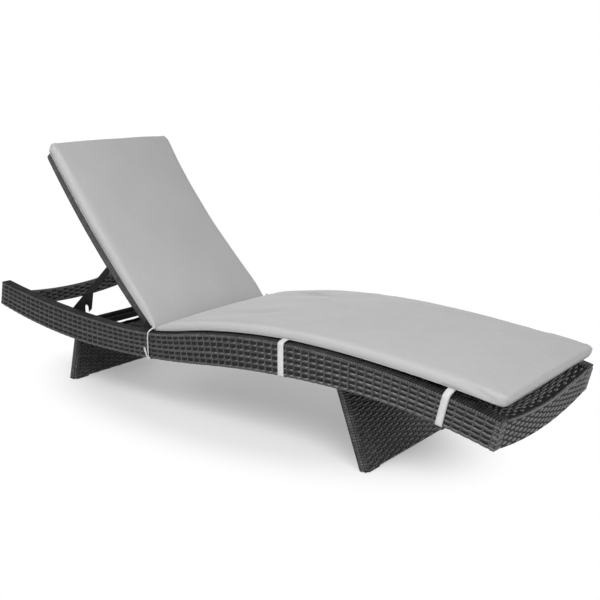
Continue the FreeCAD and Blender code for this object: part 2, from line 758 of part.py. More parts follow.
def leg(label, foot_x, pivot_z, lean, way):
    """One folding board. Way is 1 where its foot leans to the foot end, -1 to the head end."""
    slope = math.tan(math.radians(lean))
    pivot = at(foot_x - way * pivot_z * slope, pivot_z)
    turn = Rotation(ACROSS, -way * lean)

    def on_leg(out, up):
        return pivot + turn.multVec(at(way * out, up))

    def foot_point(out, height):
        top = on_leg(out, 0.0)
        return (top.x + way * (top.z - height) * slope, height)

    half = size("leg_thickness") / 2
    wall = size("leg_skin")
    bottom = size("glide_height")
    top_up = -size("leg_tube") / 2 - size("leg_top_gap")
    outline = [(p.x, p.z) for p in (on_leg(-half, top_up), on_leg(half, top_up))]
    outline += [foot_point(half, bottom), foot_point(-half, bottom)]
    hollow = [(p.x, p.z) for p in (on_leg(wall - half, 0), on_leg(half - wall, 0))]
    hollow += [foot_point(half - wall, bottom + wall), foot_point(wall - half, bottom + wall)]
    skin = doc.addObject("PartDesign::Body", label + "_skin")
    pad(skin, polygon(outline), "Sizes.leg_width")
    pocket(skin, polygon(hollow), "Sizes.leg_width - 2 * Sizes.leg_skin")
    keep(skin, label + "_skin")

    half_width = size("leg_width") / 2
    tube = Part.makeCylinder(size("leg_tube") / 2, size("leg_width"), pivot - half_width * ACROSS, ACROSS)
    tube = tube.cut(Part.makeCylinder(size("leg_tube_bore") / 2, size("leg_width"),
                                      pivot - half_width * ACROSS, ACROSS))
    core = Part.makeCylinder(size("leg_tube") / 2 - size("heel_sink"), size("leg_width"),
                             pivot - half_width * ACROSS, ACROSS)
    for sign in SIDES.values():
        heel = Part.makeBox(size("heel_width"), size("heel_thickness"), size("heel_reach"))
        heel.translate(Vector(-size("heel_width") / 2, -size("heel_thickness") / 2, 0))
        heel.Placement = Placement(pivot, turn).multiply(heel.Placement)
        heel.translate(sign * (half_width - size("heel_inset") - size("heel_thickness") / 2) * ACROSS)
        tube = tube.fuse(heel.cut(core))
    feature(label + "_pivot_tube", tube.removeSplitter().Solids[0])

    bar = size("leg_frame_tube")
    low_z = bottom + wall + size("cap_gap") + bar / 2
    low = at(pivot.x + way * (pivot.z - low_z) * slope, low_z)
    reach = (pivot - low).Length
    span = size("leg_width") - 2 * wall - 2 * size("cap_gap")
    foot_bar = Part.makeCylinder(bar / 2, span, low - span / 2 * ACROSS, ACROSS)
    foot_bore = Part.makeCylinder(size("leg_frame_bore") / 2, span, low - span / 2 * ACROSS, ACROSS)
    pieces = [foot_bar.cut(foot_bore)]
    for sign in SIDES.values():
        start = low + sign * size("leg_frame_half_span") * ACROSS
        post = Part.makeCylinder(bar / 2, reach, start, pivot - low)
        post = post.cut(Part.makeCylinder(size("leg_frame_bore") / 2, reach, start, pivot - low))
        pivot_bar = Part.makeCylinder(size("leg_tube") / 2, size("leg_width"), pivot - half_width * ACROSS,
                                      ACROSS)
        pieces.append(max(post.cut(pivot_bar).cut(foot_bar).Solids, key=lambda solid: solid.Volume))
    feature(label + "_frame", Part.makeCompound(pieces))

    foot = [foot_point(-half, bottom)[0], foot_point(half, bottom)[0]]
    glides = []
    for side, sign in SIDES.items():
        glide = doc.addObject("Part::Box", f"{label}_glide_{side}")
        glide.Length = abs(foot[1] - foot[0])
        glide.setExpression("Width", "Sizes.glide_length")
        glide.setExpression("Height", "Sizes.glide_height")
        centre = sign * (half_width - size("glide_inset")) - size("glide_length") / 2
        glide.Placement = Placement(Vector(min(foot), centre, 0), Rotation())
        glides.append(glide)
    group(label + "_glides", glides)
    collar = BRACKET_FACE - half_width - size("face_gap")
    group(label + "_bushes",
          bush_pair(label + "_bush", "leg_tube_bore", "leg_pin", half_width, pivot, collar))

    near = size("heel_width") / 2 + size("seat_gap")
    high = size("heel_reach")
    low_up = high - size("stop_size")
    corners = [on_leg(-near, low_up), on_leg(-near - size("stop_size"), low_up),
               on_leg(-near - size("stop_size"), high), on_leg(-near, high)]
    brackets(label, pivot, "leg_pin", "leg_pin_reach", [(p.x, p.z) for p in corners])


# Cushion halves, straps and ties

def strap_room(x, width, start_y, end_y, drop):
    """The room that a strap may take between two places across, up to drop under its top."""
    top = min(wave_z("top", x - width / 2), wave_z("top", x + width / 2))
    height = 2 * HALF_WIDTH
    room = Part.makeBox(width, abs(end_y - start_y), height)
    room.translate(Vector(x - width / 2, min(start_y, end_y), top - size("strap_top_gap") - drop - height))
    return room


def soft_goods():
    """The two cushion halves, the straps round the rails and the ties at the hinge."""
    foot_x = HALF_LENGTH - size("cushion_foot_inset")
    feature("seat_cushion", cushion("top", size("seat_cushion_head_x"), foot_x, size("cushion_width"),
                                    size("cushion_foot_rise")))
    feature("back_cushion", raised(cushion("back", HINGE.x - size("back_cushion_start"),
                                           size("back_cushion_end_x"), size("back_cushion_width"), 0.0)))
    rows = (("middle_strap", "middle_strap_x", "strap_width", "strap_thickness", 0.0),
            ("foot_strap", "foot_strap_x", "strap_width", "strap_thickness", 0.0),
            ("tie", "tie_x", "tie_width", "tie_thickness", INNER_FACE + size("skin_wall")))
    gap = size("strap_gap")
    for label, place, width, thickness, inner_limit in rows:
        x = size(place)
        for side, sign in SIDES.items():
            layers = [thick(rail_face(-offset, 0.0), size("rail_width") + 2 * offset, sign * RAIL_MIDDLE)
                      for offset in (gap + size(thickness), gap)]
            outer = strap_room(x, size(width), sign * RAIL_MIDDLE, sign * HALF_LENGTH, 0.0)
            inner = strap_room(x, size(width), sign * inner_limit, sign * RAIL_MIDDLE,
                               size("deck_drop") + size("deck_thickness"))
            band = layers[0].cut(layers[1])
            feature(f"{label}_{side}", band.common(outer.fuse(inner)).removeSplitter().Solids[0])


rails()
aprons()
seat()
keep(tube_across("catch_bar", "Sizes.catch_bar", "Sizes.catch_bar_bore",
                 "Sizes.overall_width - 2 * Sizes.rail_width", CATCH.x, CATCH.z), "catch_bar")
back()
keep(tube_across("hinge_tube", "Sizes.back_tube", "Sizes.back_tube_bore", f"{2 * BACK_INSIDE}",
                 HINGE.x, HINGE.z), "hinge_tube")
group("hinge_bushes", bush_pair("hinge_bush", "back_tube_bore", "hinge_pin", BACK_INSIDE, HINGE))
brackets("hinge", HINGE, "hinge_pin", "hinge_pin_reach")
prop()
leg("front_leg", size("front_leg_foot_x"), size("front_pivot_z"), size("front_lean"), 1)
leg("rear_leg", size("rear_leg_foot_x"), size("rear_pivot_z"), size("rear_lean"), -1)
soft_goods()

doc.recompute()
for item in doc.Objects:
    if {"Invalid", "Error"} & set(item.State):
        raise RuntimeError(f"{item.Label} did not compute: {item.State}")
for node in nodes:
    if node.Shape.isNull() or not node.Shape.isValid() or not node.Shape.Solids:
        raise RuntimeError(f"{node.Label} has no valid solid")
os.makedirs("parts", exist_ok=True)
for node in nodes:
    node.Shape.exportStep(os.path.join("parts", node.Label + ".step"))
print(len(nodes), "nodes; hinge", HINGE, "prop", PROP, "catch", CATCH)
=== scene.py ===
"""Looks of a woven sun lounger: strands, cushions, straps, ties and finishes around its CAD frame."""
from __future__ import annotations

import json
import logging
import math
from dataclasses import asdict, dataclass, field, replace
from enum import Enum
from typing import Callable, Sequence

import bmesh
import bpy
import numpy as np
from bpy.types import ID, Material, Mesh, Node, NodeOutputs, NodeSocket, NodeTree, Object
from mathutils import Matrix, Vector

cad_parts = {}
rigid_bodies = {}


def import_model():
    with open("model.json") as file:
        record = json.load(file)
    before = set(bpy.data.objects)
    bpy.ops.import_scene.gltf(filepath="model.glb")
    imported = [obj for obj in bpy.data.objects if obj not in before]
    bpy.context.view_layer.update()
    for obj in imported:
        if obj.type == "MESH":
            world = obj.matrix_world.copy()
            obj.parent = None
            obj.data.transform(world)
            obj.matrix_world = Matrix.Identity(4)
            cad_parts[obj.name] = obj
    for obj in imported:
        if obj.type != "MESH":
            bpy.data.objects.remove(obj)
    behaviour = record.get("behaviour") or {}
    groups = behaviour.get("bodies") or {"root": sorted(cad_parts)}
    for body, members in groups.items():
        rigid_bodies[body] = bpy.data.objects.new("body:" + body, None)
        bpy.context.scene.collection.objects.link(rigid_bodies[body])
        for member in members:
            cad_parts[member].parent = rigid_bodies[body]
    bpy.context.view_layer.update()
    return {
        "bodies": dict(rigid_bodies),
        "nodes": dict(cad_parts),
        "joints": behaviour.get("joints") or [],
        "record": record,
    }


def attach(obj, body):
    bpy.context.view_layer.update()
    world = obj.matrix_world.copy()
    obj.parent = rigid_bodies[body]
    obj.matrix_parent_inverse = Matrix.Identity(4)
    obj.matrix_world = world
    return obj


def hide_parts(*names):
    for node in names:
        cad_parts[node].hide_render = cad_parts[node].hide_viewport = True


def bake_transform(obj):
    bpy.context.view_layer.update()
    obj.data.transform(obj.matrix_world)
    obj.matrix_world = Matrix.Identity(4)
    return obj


LOG = logging.getLogger("sun_lounger")
ACROSS = np.array((0.0, 1.0, 0.0))
TINY = 1e-9
LEVEL = 0.5
Triple = tuple[float, float, float]
Pair = tuple[float, float]
Places = np.ndarray | float


class Side(Enum):
    """The two sides of the lounger, by the sign of Y."""

    LEFT = 1.0
    RIGHT = -1.0

    @property
    def tag(self) -> str:
        """The side's word in the names of pieces."""
        return self.name.lower()


class Slot(Enum):
    """The record's material slots."""

    WICKER = "wicker"
    STEEL = "frame_steel"
    PIN = "pin_steel"
    PLASTIC = "plastic"
    RUBBER = "glide_rubber"
    CLOTH = "cushion_cloth"
    WEBBING = "webbing"


def unit(vectors: np.ndarray) -> np.ndarray:
    """The same directions, each of length one."""
    return vectors / np.maximum(np.linalg.norm(vectors, axis=1, keepdims=True), TINY)


def points_at(x: Places, y: Places, z: Places) -> np.ndarray:
    """Points from their coordinates, each a number or an array."""
    return np.stack(np.broadcast_arrays(x, y, z), axis=1).astype(float)


def mirrored(half: Sequence[Pair], shared: bool = True) -> np.ndarray:
    """Half an outline and its mirror image by the second number; its last pair can be shared."""
    pairs = np.array(half, float)
    return np.concatenate([pairs, pairs[::-1][int(shared):] * (1, -1)])


@dataclass(frozen=True)
class Wave:
    """One edge of a side rail: four arcs that meet with one tangent."""

    crest_x: float
    crest_z: float
    dip_x: float
    dip_z: float
    crest_share: float
    foot_radius: float
    head_radius: float

    def height(self, x: Places) -> np.ndarray:
        """Height of the edge.

        Args:
            x: places along the lounger.

        Returns:
            The edge's z at each place.
        """
        x = np.asarray(x, float)
        run = self.crest_x - self.dip_x
        rise = self.crest_z - self.dip_z
        both = (run ** 2 + rise ** 2) / (2 * rise)
        turn = self.crest_x - run * self.crest_share
        over = np.where(x > self.crest_x, self.foot_radius, both * self.crest_share)
        under = np.where(x < self.dip_x, self.head_radius, both * (1 - self.crest_share))
        high = self.crest_z - over + np.sqrt(np.maximum(over ** 2 - (x - self.crest_x) ** 2, 0))
        low = self.dip_z + under - np.sqrt(np.maximum(under ** 2 - (x - self.dip_x) ** 2, 0))
        return np.where(x >= turn, high, low)

    def up(self, x: Places, step: float = 1e-4) -> np.ndarray:
        """Unit vectors square to the edge.

        Args:
            x: places along the lounger.
            step: how far to each side the slope is taken.

        Returns:
            One upward unit vector for each place.
        """
        x = np.atleast_1d(np.asarray(x, float))
        slope = (self.height(x + step) - self.height(x - step)) / (2 * step)
        return unit(points_at(-slope, 0.0, 1.0))

    def lifted(self, x: Places, lift: Places) -> np.ndarray:
        """Points over the edge, in the middle plane.

        Args:
            x: places along the lounger.
            lift: how far over the edge, square to it.

        Returns:
            One point for each place.
        """
        x = np.atleast_1d(np.asarray(x, float))
        return points_at(x, 0.0, self.height(x)) + self.up(x) * np.reshape(lift, (-1, 1))


TOP = Wave(crest_x=0.390, crest_z=0.326, dip_x=-0.312, dip_z=0.256, crest_share=0.65,
           foot_radius=2.550, head_radius=3.700)
LOW = Wave(crest_x=0.518, crest_z=0.237, dip_x=-0.447, dip_z=0.171, crest_share=0.50,
           foot_radius=1.830, head_radius=2.350)
BACK = replace(TOP, head_radius=3.000)


@dataclass(frozen=True)
class Frame:
    """Sizes that the pieces share, in metres and degrees."""

    half_length: float = 0.978
    half_width: float = 0.275
    rail_width: float = 0.032
    foot_rake: float = 0.015
    head_rake: float = 0.018
    hinge_x: float = -0.203
    hinge_drop: float = 0.0155
    recline: float = 43.0

    @property
    def inner(self) -> float:
        """Where a rail's inner face is."""
        return self.half_width - self.rail_width

    @property
    def rail_middle(self) -> float:
        """Where a rail's middle is."""
        return self.inner + self.rail_width / 2

    def raised(self, points: np.ndarray, is_direction: bool = False) -> np.ndarray:
        """Turns what was laid out flat up to the propped back.

        Args:
            points: points or directions of the flat back.
            is_direction: whether they are directions.

        Returns:
            The same, on the propped back.
        """
        sine, cosine = math.sin(math.radians(self.recline)), math.cos(math.radians(self.recline))
        turn = np.array(((cosine, 0, sine), (0, 1, 0), (-sine, 0, cosine)))
        hinge = np.array((self.hinge_x, 0.0, float(TOP.height(self.hinge_x)) - self.hinge_drop))
        pivot = np.zeros(3) if is_direction else hinge
        return (points - pivot) @ turn.T + pivot


FRAME = Frame()


class Nodes:
    """Adds and joins nodes in one tree."""

    def __init__(self, tree: NodeTree) -> None:
        """Keeps the tree."""
        self.tree = tree

    def add(self, kind: str, feeds: dict[str | int, object] | None = None, **settings: object
            ) -> Node:
        """Adds a node.

        Args:
            kind: the node's type.
            feeds: a link or a plain value for each input that is set.
            settings: properties of the node.

        Returns:
            The new node.
        """
        node = self.tree.nodes.new(kind)
        for name, value in settings.items():
            setattr(node, name, value)
        self.feed(node, feeds or {})
        return node

    def feed(self, node: Node, feeds: dict[str | int, object]) -> None:
        """Sets inputs of a node.

        Args:
            node: the node.
            feeds: a link or a plain value for each input, by name or number.
        """
        for key, value in feeds.items():
            if isinstance(value, NodeSocket):
                self.tree.links.new(value, node.inputs[key])
            else:
                node.inputs[key].default_value = value

    def math(self, operation: str, *values: object) -> NodeSocket:
        """What a Math node makes of links or numbers."""
        return self.add("ShaderNodeMath", dict(enumerate(values)), operation=operation).outputs[0]

    def blend(self, first: object, second: object, share: float) -> NodeSocket:
        """Two values added up, with that share of the second."""
        return self.math("ADD", self.math("MULTIPLY", first, 1 - share), self.math("MULTIPLY", second, share))

    def ramp(self, value: object, low: float, high: float, to_low: float = 0.0, to_high: float = 1.0
             ) -> NodeSocket:
        """Maps a value from the first range to the second, smoothly and held at the ends."""
        feeds = dict(enumerate((value, low, high, to_low, to_high)))
        return self.add("ShaderNodeMapRange", feeds, interpolation_type="SMOOTHSTEP").outputs[0]


@dataclass(frozen=True)
class Effect:
    """A shader effect that finishes share: a node group over a Vector, made once."""

    name: str
    inputs: tuple[str, ...]
    outputs: tuple[str, ...]
    fill: Callable[[Nodes, NodeOutputs], dict[str, NodeSocket]]

    def tree(self) -> NodeTree:
        """Makes the node group."""
        tree = bpy.data.node_groups.new(self.name, "ShaderNodeTree")
        tree.interface.new_socket("Vector", in_out="INPUT", socket_type="NodeSocketVector")
        for way, labels in (("INPUT", self.inputs), ("OUTPUT", self.outputs)):
            for label in labels:
                tree.interface.new_socket(label, in_out=way, socket_type="NodeSocketFloat")
        nodes = Nodes(tree)
        nodes.add("NodeGroupOutput", self.fill(nodes, nodes.add("NodeGroupInput").outputs))
        return tree

    def place(self, nodes: Nodes, **values: object) -> NodeOutputs:
        """Places the effect in a material, with a link or number for each input, and gives its outputs."""
        tree = bpy.data.node_groups.get(self.name) or self.tree()
        return nodes.add("ShaderNodeGroup", values, node_tree=tree).outputs


def fill_grain(nodes: Nodes, given: NodeOutputs) -> dict[str, NodeSocket]:
    """Adds a broad and a fine unevenness of tone.

    Args:
        nodes: the group's nodes.
        given: the group's inputs.

    Returns:
        What each output gets.
    """
    tones = {}
    for label, factor, detail, low, high in (("Broad", 1.0, 3.0, 0.30, 0.70), ("Fine", 9.0, 5.0, 0.35, 0.65)):
        scale = nodes.math("MULTIPLY", given["Scale"], factor)
        noise = nodes.add("ShaderNodeTexNoise", {"Vector": given["Vector"], "Scale": scale, "Detail": detail})
        tones[label] = nodes.ramp(noise.outputs["Fac"], low, high)
    return tones


def fill_threads(nodes: Nodes, given: NodeOutputs) -> dict[str, NodeSocket]:
    """Adds two crossed rows of threads that go over and under each other.

    Args:
        nodes: the group's nodes.
        given: the group's inputs.

    Returns:
        What each output gets.
    """
    split = nodes.add("ShaderNodeSeparateXYZ", {0: given["Vector"]}).outputs
    counts = [nodes.math("MULTIPLY", split[axis], given[label])
              for axis, label in enumerate(("Warp", "Weft"))]
    warp, weft = (nodes.math("ABSOLUTE", nodes.math("SINE", nodes.math("MULTIPLY", count, math.pi)))
                  for count in counts)
    number = nodes.math("ADD", *(nodes.math("FLOOR", count) for count in counts))
    parity = nodes.math("PINGPONG", number, 1.0)
    over = nodes.math("MULTIPLY", parity, warp)
    under = nodes.math("MULTIPLY", nodes.math("SUBTRACT", 1.0, parity), weft)
    return {"Height": nodes.math("ADD", over, under)}


GRAIN = Effect("surface_grain", ("Scale",), ("Broad", "Fine"), fill_grain)
THREADS = Effect("woven_threads", ("Warp", "Weft"), ("Height",), fill_threads)


@dataclass(frozen=True)
class Surface:
    """What every finish has: a name and two tones of its colour."""

    name: str
    dark: Triple
    light: Triple

    def material(self) -> Material:
        """The finish as a material, made once."""
        made = bpy.data.materials.get(self.name)
        if made is None:
            made = bpy.data.materials.new(self.name)
            made.use_nodes = True
            self.fill(Nodes(made.node_tree), made.node_tree.nodes["Principled BSDF"])
        return made

    def fill(self, nodes: Nodes, shader: Node) -> None:
        """Adds the nodes of the finish; each kind of finish has its own."""
        raise NotImplementedError

    def colour(self, nodes: Nodes, share: object) -> NodeSocket:
        """The dark tone with a share of the light one.

        A Mix node takes colours at its inputs 6 and 7 and gives their blend at its output 2.

        Args:
            nodes: the material's nodes.
            share: a link or a number.

        Returns:
            The blended colour.
        """
        feeds = {0: share, 6: (*self.dark, 1.0), 7: (*self.light, 1.0)}
        return nodes.add("ShaderNodeMix", feeds, data_type="RGBA").outputs[2]


@dataclass(frozen=True)
class Finish(Surface):
    """A moulded, drawn or painted finish with an uneven tone."""

    roughness: Pair
    scale: float
    metallic: float = 0.0
    bump: float = 0.1
    grain_depth: float = 0.0004
    specular: float = 0.5
    woven: bool = False
    tint_share: float = 0.55
    # Painted shade: maps how far a woven strand is over (0 tucked under, 1 over) to a darkening of its
    # colour.
    tucked: tuple[float, float, float, float] = (0.2, 1.0, 0.08, 1.0)

    def fill(self, nodes: Nodes, shader: Node) -> None:
        """Adds the nodes of the finish; woven strands differ in tint, and painted shade darkens them where
        they tuck under.

        Args:
            nodes: the material's nodes.
            shader: its shader.
        """
        grain = GRAIN.place(nodes, Vector=nodes.add("ShaderNodeTexCoord").outputs["Object"], Scale=self.scale)
        share = grain["Broad"]
        if self.woven:
            tint, over = (nodes.add("ShaderNodeAttribute", attribute_name=label).outputs["Fac"]
                          for label in ("tint", "over"))
            share = nodes.blend(share, tint, self.tint_share)
            # Painted shade where the strand tucks under a stake or a neighbouring strand.
            share = nodes.math("MULTIPLY", share, nodes.ramp(over, *self.tucked))
        bump = nodes.add("ShaderNodeBump", {"Strength": self.bump, "Distance": self.grain_depth,
                                            "Height": grain["Fine"]})
        nodes.feed(shader, {"Base Color": self.colour(nodes, share), "Metallic": self.metallic,
                            "Roughness": nodes.ramp(grain["Fine"], 0.0, 1.0, *self.roughness),
                            "Specular IOR Level": self.specular, "Normal": bump.outputs["Normal"]})


@dataclass(frozen=True)
class Cloth(Surface):
    """A woven cloth or tape, its threads laid along the piece's own UV map."""

    threads: Pair
    bump: float
    thread_depth: float = 0.0005
    patches: float = 6.0
    patch_share: float = 0.2
    roughness: Pair = (0.80, 0.90)
    sheen: float = 0.15

    def fill(self, nodes: Nodes, shader: Node) -> None:
        """Adds the nodes of the cloth.

        Args:
            nodes: the material's nodes.
            shader: its shader.
        """
        place = nodes.add("ShaderNodeTexCoord").outputs
        warp, weft = self.threads
        height = THREADS.place(nodes, Vector=place["UV"], Warp=warp, Weft=weft)["Height"]
        grain = GRAIN.place(nodes, Vector=place["Object"], Scale=self.patches)
        bump = nodes.add("ShaderNodeBump", {"Strength": self.bump, "Distance": self.thread_depth,
                                            "Height": height})
        tone = nodes.blend(height, grain["Broad"], self.patch_share)
        nodes.feed(shader, {"Base Color": self.colour(nodes, tone), "Sheen Weight": self.sheen,
                            "Roughness": nodes.ramp(grain["Fine"], 0.0, 1.0, *self.roughness),
                            "Normal": bump.outputs["Normal"]})


def grey(tone: float) -> Triple:
    """A neutral colour."""
    return tone, tone, tone


STRAND = Finish("charcoal_strand", grey(0.005), (0.042, 0.042, 0.044), (0.26, 0.36), 70.0, bump=0.15,
                specular=0.7, woven=True)
CORE = Finish("strand_shadow_core", grey(0.005), grey(0.011), (0.6, 0.8), 60.0, specular=0.2)
COAT = Finish("black_powder_coat", grey(0.003), grey(0.007), (0.45, 0.6), 40.0, bump=0.25, specular=0.15)
STEEL = Finish("turned_steel", (0.30, 0.30, 0.31), (0.46, 0.46, 0.47), (0.28, 0.42), 120.0, metallic=1.0)
NYLON = Finish("black_nylon", grey(0.014), grey(0.024), (0.45, 0.6), 50.0)
RUBBER = Finish("foot_rubber", grey(0.010), grey(0.020), (0.7, 0.85), 80.0, bump=0.3)
COVER = Cloth("light_grey_cover", grey(0.265), grey(0.315), (1000.0, 1000.0), 0.12)
TAPE = Cloth("pale_tape", grey(0.32), grey(0.50), (500.0, 700.0), 0.6)
CAD_FINISH = {Slot.WICKER: CORE, Slot.STEEL: COAT, Slot.PIN: STEEL, Slot.PLASTIC: NYLON, Slot.RUBBER: RUBBER}


def put(name: str, data: ID) -> Object:
    """Puts a new object in the scene.

    Args:
        name: the object's name.
        data: its mesh, light or camera.

    Returns:
        The object, at the origin.
    """
    made = bpy.data.objects.new(name, data)
    bpy.context.scene.collection.objects.link(made)
    return made


def plain_mesh(name: str, points: np.ndarray, faces: Sequence[Sequence[int]], material: Material,
               uv: np.ndarray | None = None) -> Object:
    """A smooth mesh piece at the origin.

    Args:
        name: the piece's name.
        points: its vertices.
        faces: its faces.
        material: its finish.
        uv: place of each vertex in the cloth, in metres.

    Returns:
        The new object.
    """
    mesh = bpy.data.meshes.new(name)
    mesh.from_pydata(points.tolist(), [], [list(face) for face in faces])
    mesh.materials.append(material)
    mesh.shade_smooth()
    mesh.update()
    if uv is not None:
        corners = np.zeros(len(mesh.loops), int)
        mesh.loops.foreach_get("vertex_index", corners)
        mesh.uv_layers.new(name="cloth").data.foreach_set("uv", uv[corners].astype(np.float32).ravel())
    return put(name, mesh)


def tube_faces(count: int, around: int, flip: bool = False) -> list[tuple[int, ...]]:
    """Faces of a tube of rings that is closed at both ends.

    Args:
        count: number of rings.
        around: points of each ring.
        flip: whether the faces are turned round.

    Returns:
        The faces, with the two ends last.
    """
    faces = [(i + j, i + (j + 1) % around, i + around + (j + 1) % around, i + around + j)
             for i in range(0, (count - 1) * around, around) for j in range(around)]
    faces += [tuple(range(around))[::-1], tuple(range((count - 1) * around, count * around))]
    return [face[::-1] for face in faces] if flip else faces


def run_length(path: np.ndarray) -> np.ndarray:
    """How far along a path each of its points is."""
    return np.concatenate([[0], np.cumsum(np.linalg.norm(np.diff(path, axis=0), axis=1))])


def vertex_values(mesh: Mesh, label: str) -> np.ndarray:
    """A vector of each vertex, such as its place or its normal.

    Args:
        mesh: the mesh.
        label: what is read.

    Returns:
        One row for each vertex.
    """
    values = np.zeros(len(mesh.vertices) * 3, np.float32)
    mesh.vertices.foreach_get(label, values)
    return values.reshape(-1, 3).astype(float)


def move_vertices(mesh: Mesh, points: np.ndarray) -> None:
    """Puts the vertices of a mesh at those points."""
    mesh.vertices.foreach_set("co", points.astype(np.float32).ravel())
    mesh.update()


def settle(piece: Object, body: str, slot: Slot, *nodes: str) -> Object:
    """Seats a finished piece on its body.

    Args:
        piece: the piece.
        body: the CAD body that it moves with.
        slot: its material slot; not used.
        nodes: the CAD nodes that it stands for.

    Returns:
        The piece.
    """
    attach(piece, body)
    if nodes:
        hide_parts(*nodes)
    LOG.info("%s on %s: %d faces", piece.name, body, len(piece.data.polygons))
    return piece


def smooth_path(points: Sequence[Sequence[float]], rounds: int = 3, cut: float = 0.25) -> np.ndarray:
    """Rounds the corners of a path by cutting them again and again.

    Args:
        points: the path's corners.
        rounds: how often they are cut.
        cut: share of a run that each cut takes.

    Returns:
        The points of the rounded path, with the same ends.
    """
    path = np.array(points, float)
    for _ in range(rounds):
        near = path[:-1] * (1 - cut) + path[1:] * cut
        far = path[:-1] * cut + path[1:] * (1 - cut)
        inner = np.stack([near, far], axis=1).reshape(-1, 3)
        path = np.concatenate([path[:1], inner[1:-1], path[-1:]])
    return path


@dataclass(frozen=True)
class StrandForm:
    """Size of a strand and how far it weaves in and out."""

    width: float = 0.0088
    thickness: float = 0.0036
    bulge: float = 0.0014
    squareness: float = 0.7
    sides: int = 6
    seed: int = 7

    def tree(self) -> NodeTree:
        """The node tree that lays strands along paths, made once."""
        made = bpy.data.node_groups.get("laid_strands")
        if made is not None:
            return made
        made = bpy.data.node_groups.new("laid_strands", "GeometryNodeTree")
        inputs = {"Paths": "Geometry", "Width": "Float", "Thickness": "Float", "Bulge": "Float",
                  "Squareness": "Float", "Sides": "Int", "Seed": "Int", "Finish": "Material"}
        for label, kind in inputs.items():
            made.interface.new_socket(label, in_out="INPUT", socket_type="NodeSocket" + kind)
        made.interface.new_socket("Strands", in_out="OUTPUT", socket_type="NodeSocketGeometry")
        nodes = Nodes(made)
        given = nodes.add("NodeGroupInput").outputs
        phase, girth, out = (
            nodes.add("GeometryNodeInputNamedAttribute", {"Name": label}, data_type=kind).outputs[0]
            for label, kind in (("phase", "FLOAT"), ("girth", "FLOAT"), ("out", "FLOAT_VECTOR")))
        swing = nodes.math("COSINE", nodes.math("MULTIPLY", phase, math.pi))
        square = nodes.math("POWER", nodes.math("ABSOLUTE", swing), given["Squareness"])
        depth = nodes.math("MULTIPLY", nodes.math("SIGN", swing), square)
        depth = nodes.math("MULTIPLY", depth, given["Bulge"])
        shift = nodes.add("ShaderNodeVectorMath", {0: out, "Scale": depth}, operation="SCALE")
        tint = nodes.add("FunctionNodeRandomValue", {"Seed": given["Seed"]}, data_type="FLOAT")
        # How far a strand is over: 1 where over or level, 0 where it tucks under; the strand finish paints
        # shade from it.
        over = nodes.math("MINIMUM", nodes.math("ADD", swing, 1.0), 1.0)
        ring = nodes.add("GeometryNodeCurvePrimitiveCircle", {"Resolution": given["Sides"], "Radius": 0.5})
        scale = nodes.add("ShaderNodeCombineXYZ", {0: given["Thickness"], 1: given["Width"], 2: 1.0})
        profile = nodes.add("GeometryNodeTransform", {0: ring.outputs["Curve"], "Scale": scale.outputs[0]})
        shape = given["Paths"]
        for kind, feeds, settings in (
                ("SetPosition", {"Offset": shift.outputs[0]}, {}),
                ("MeshToCurve", {}, {}),
                ("StoreNamedAttribute", {"Name": "tint", "Value": tint.outputs[1]},
                 {"data_type": "FLOAT", "domain": "CURVE"}),
                ("StoreNamedAttribute", {"Name": "over", "Value": over},
                 {"data_type": "FLOAT", "domain": "POINT"}),
                ("SetCurveNormal", {"Normal": out}, {"mode": "FREE"}),
                ("CurveToMesh", {"Profile Curve": profile.outputs[0], "Scale": girth, "Fill Caps": True}, {}),
                ("SetShadeSmooth", {}, {}),
                ("RealizeInstances", {}, {}),
                ("SetMaterial", {"Material": given["Finish"]}, {})):
            shape = nodes.add("GeometryNode" + kind, {0: shape, **feeds}, **settings).outputs[0]
        nodes.add("NodeGroupOutput", {0: shape})
        return made


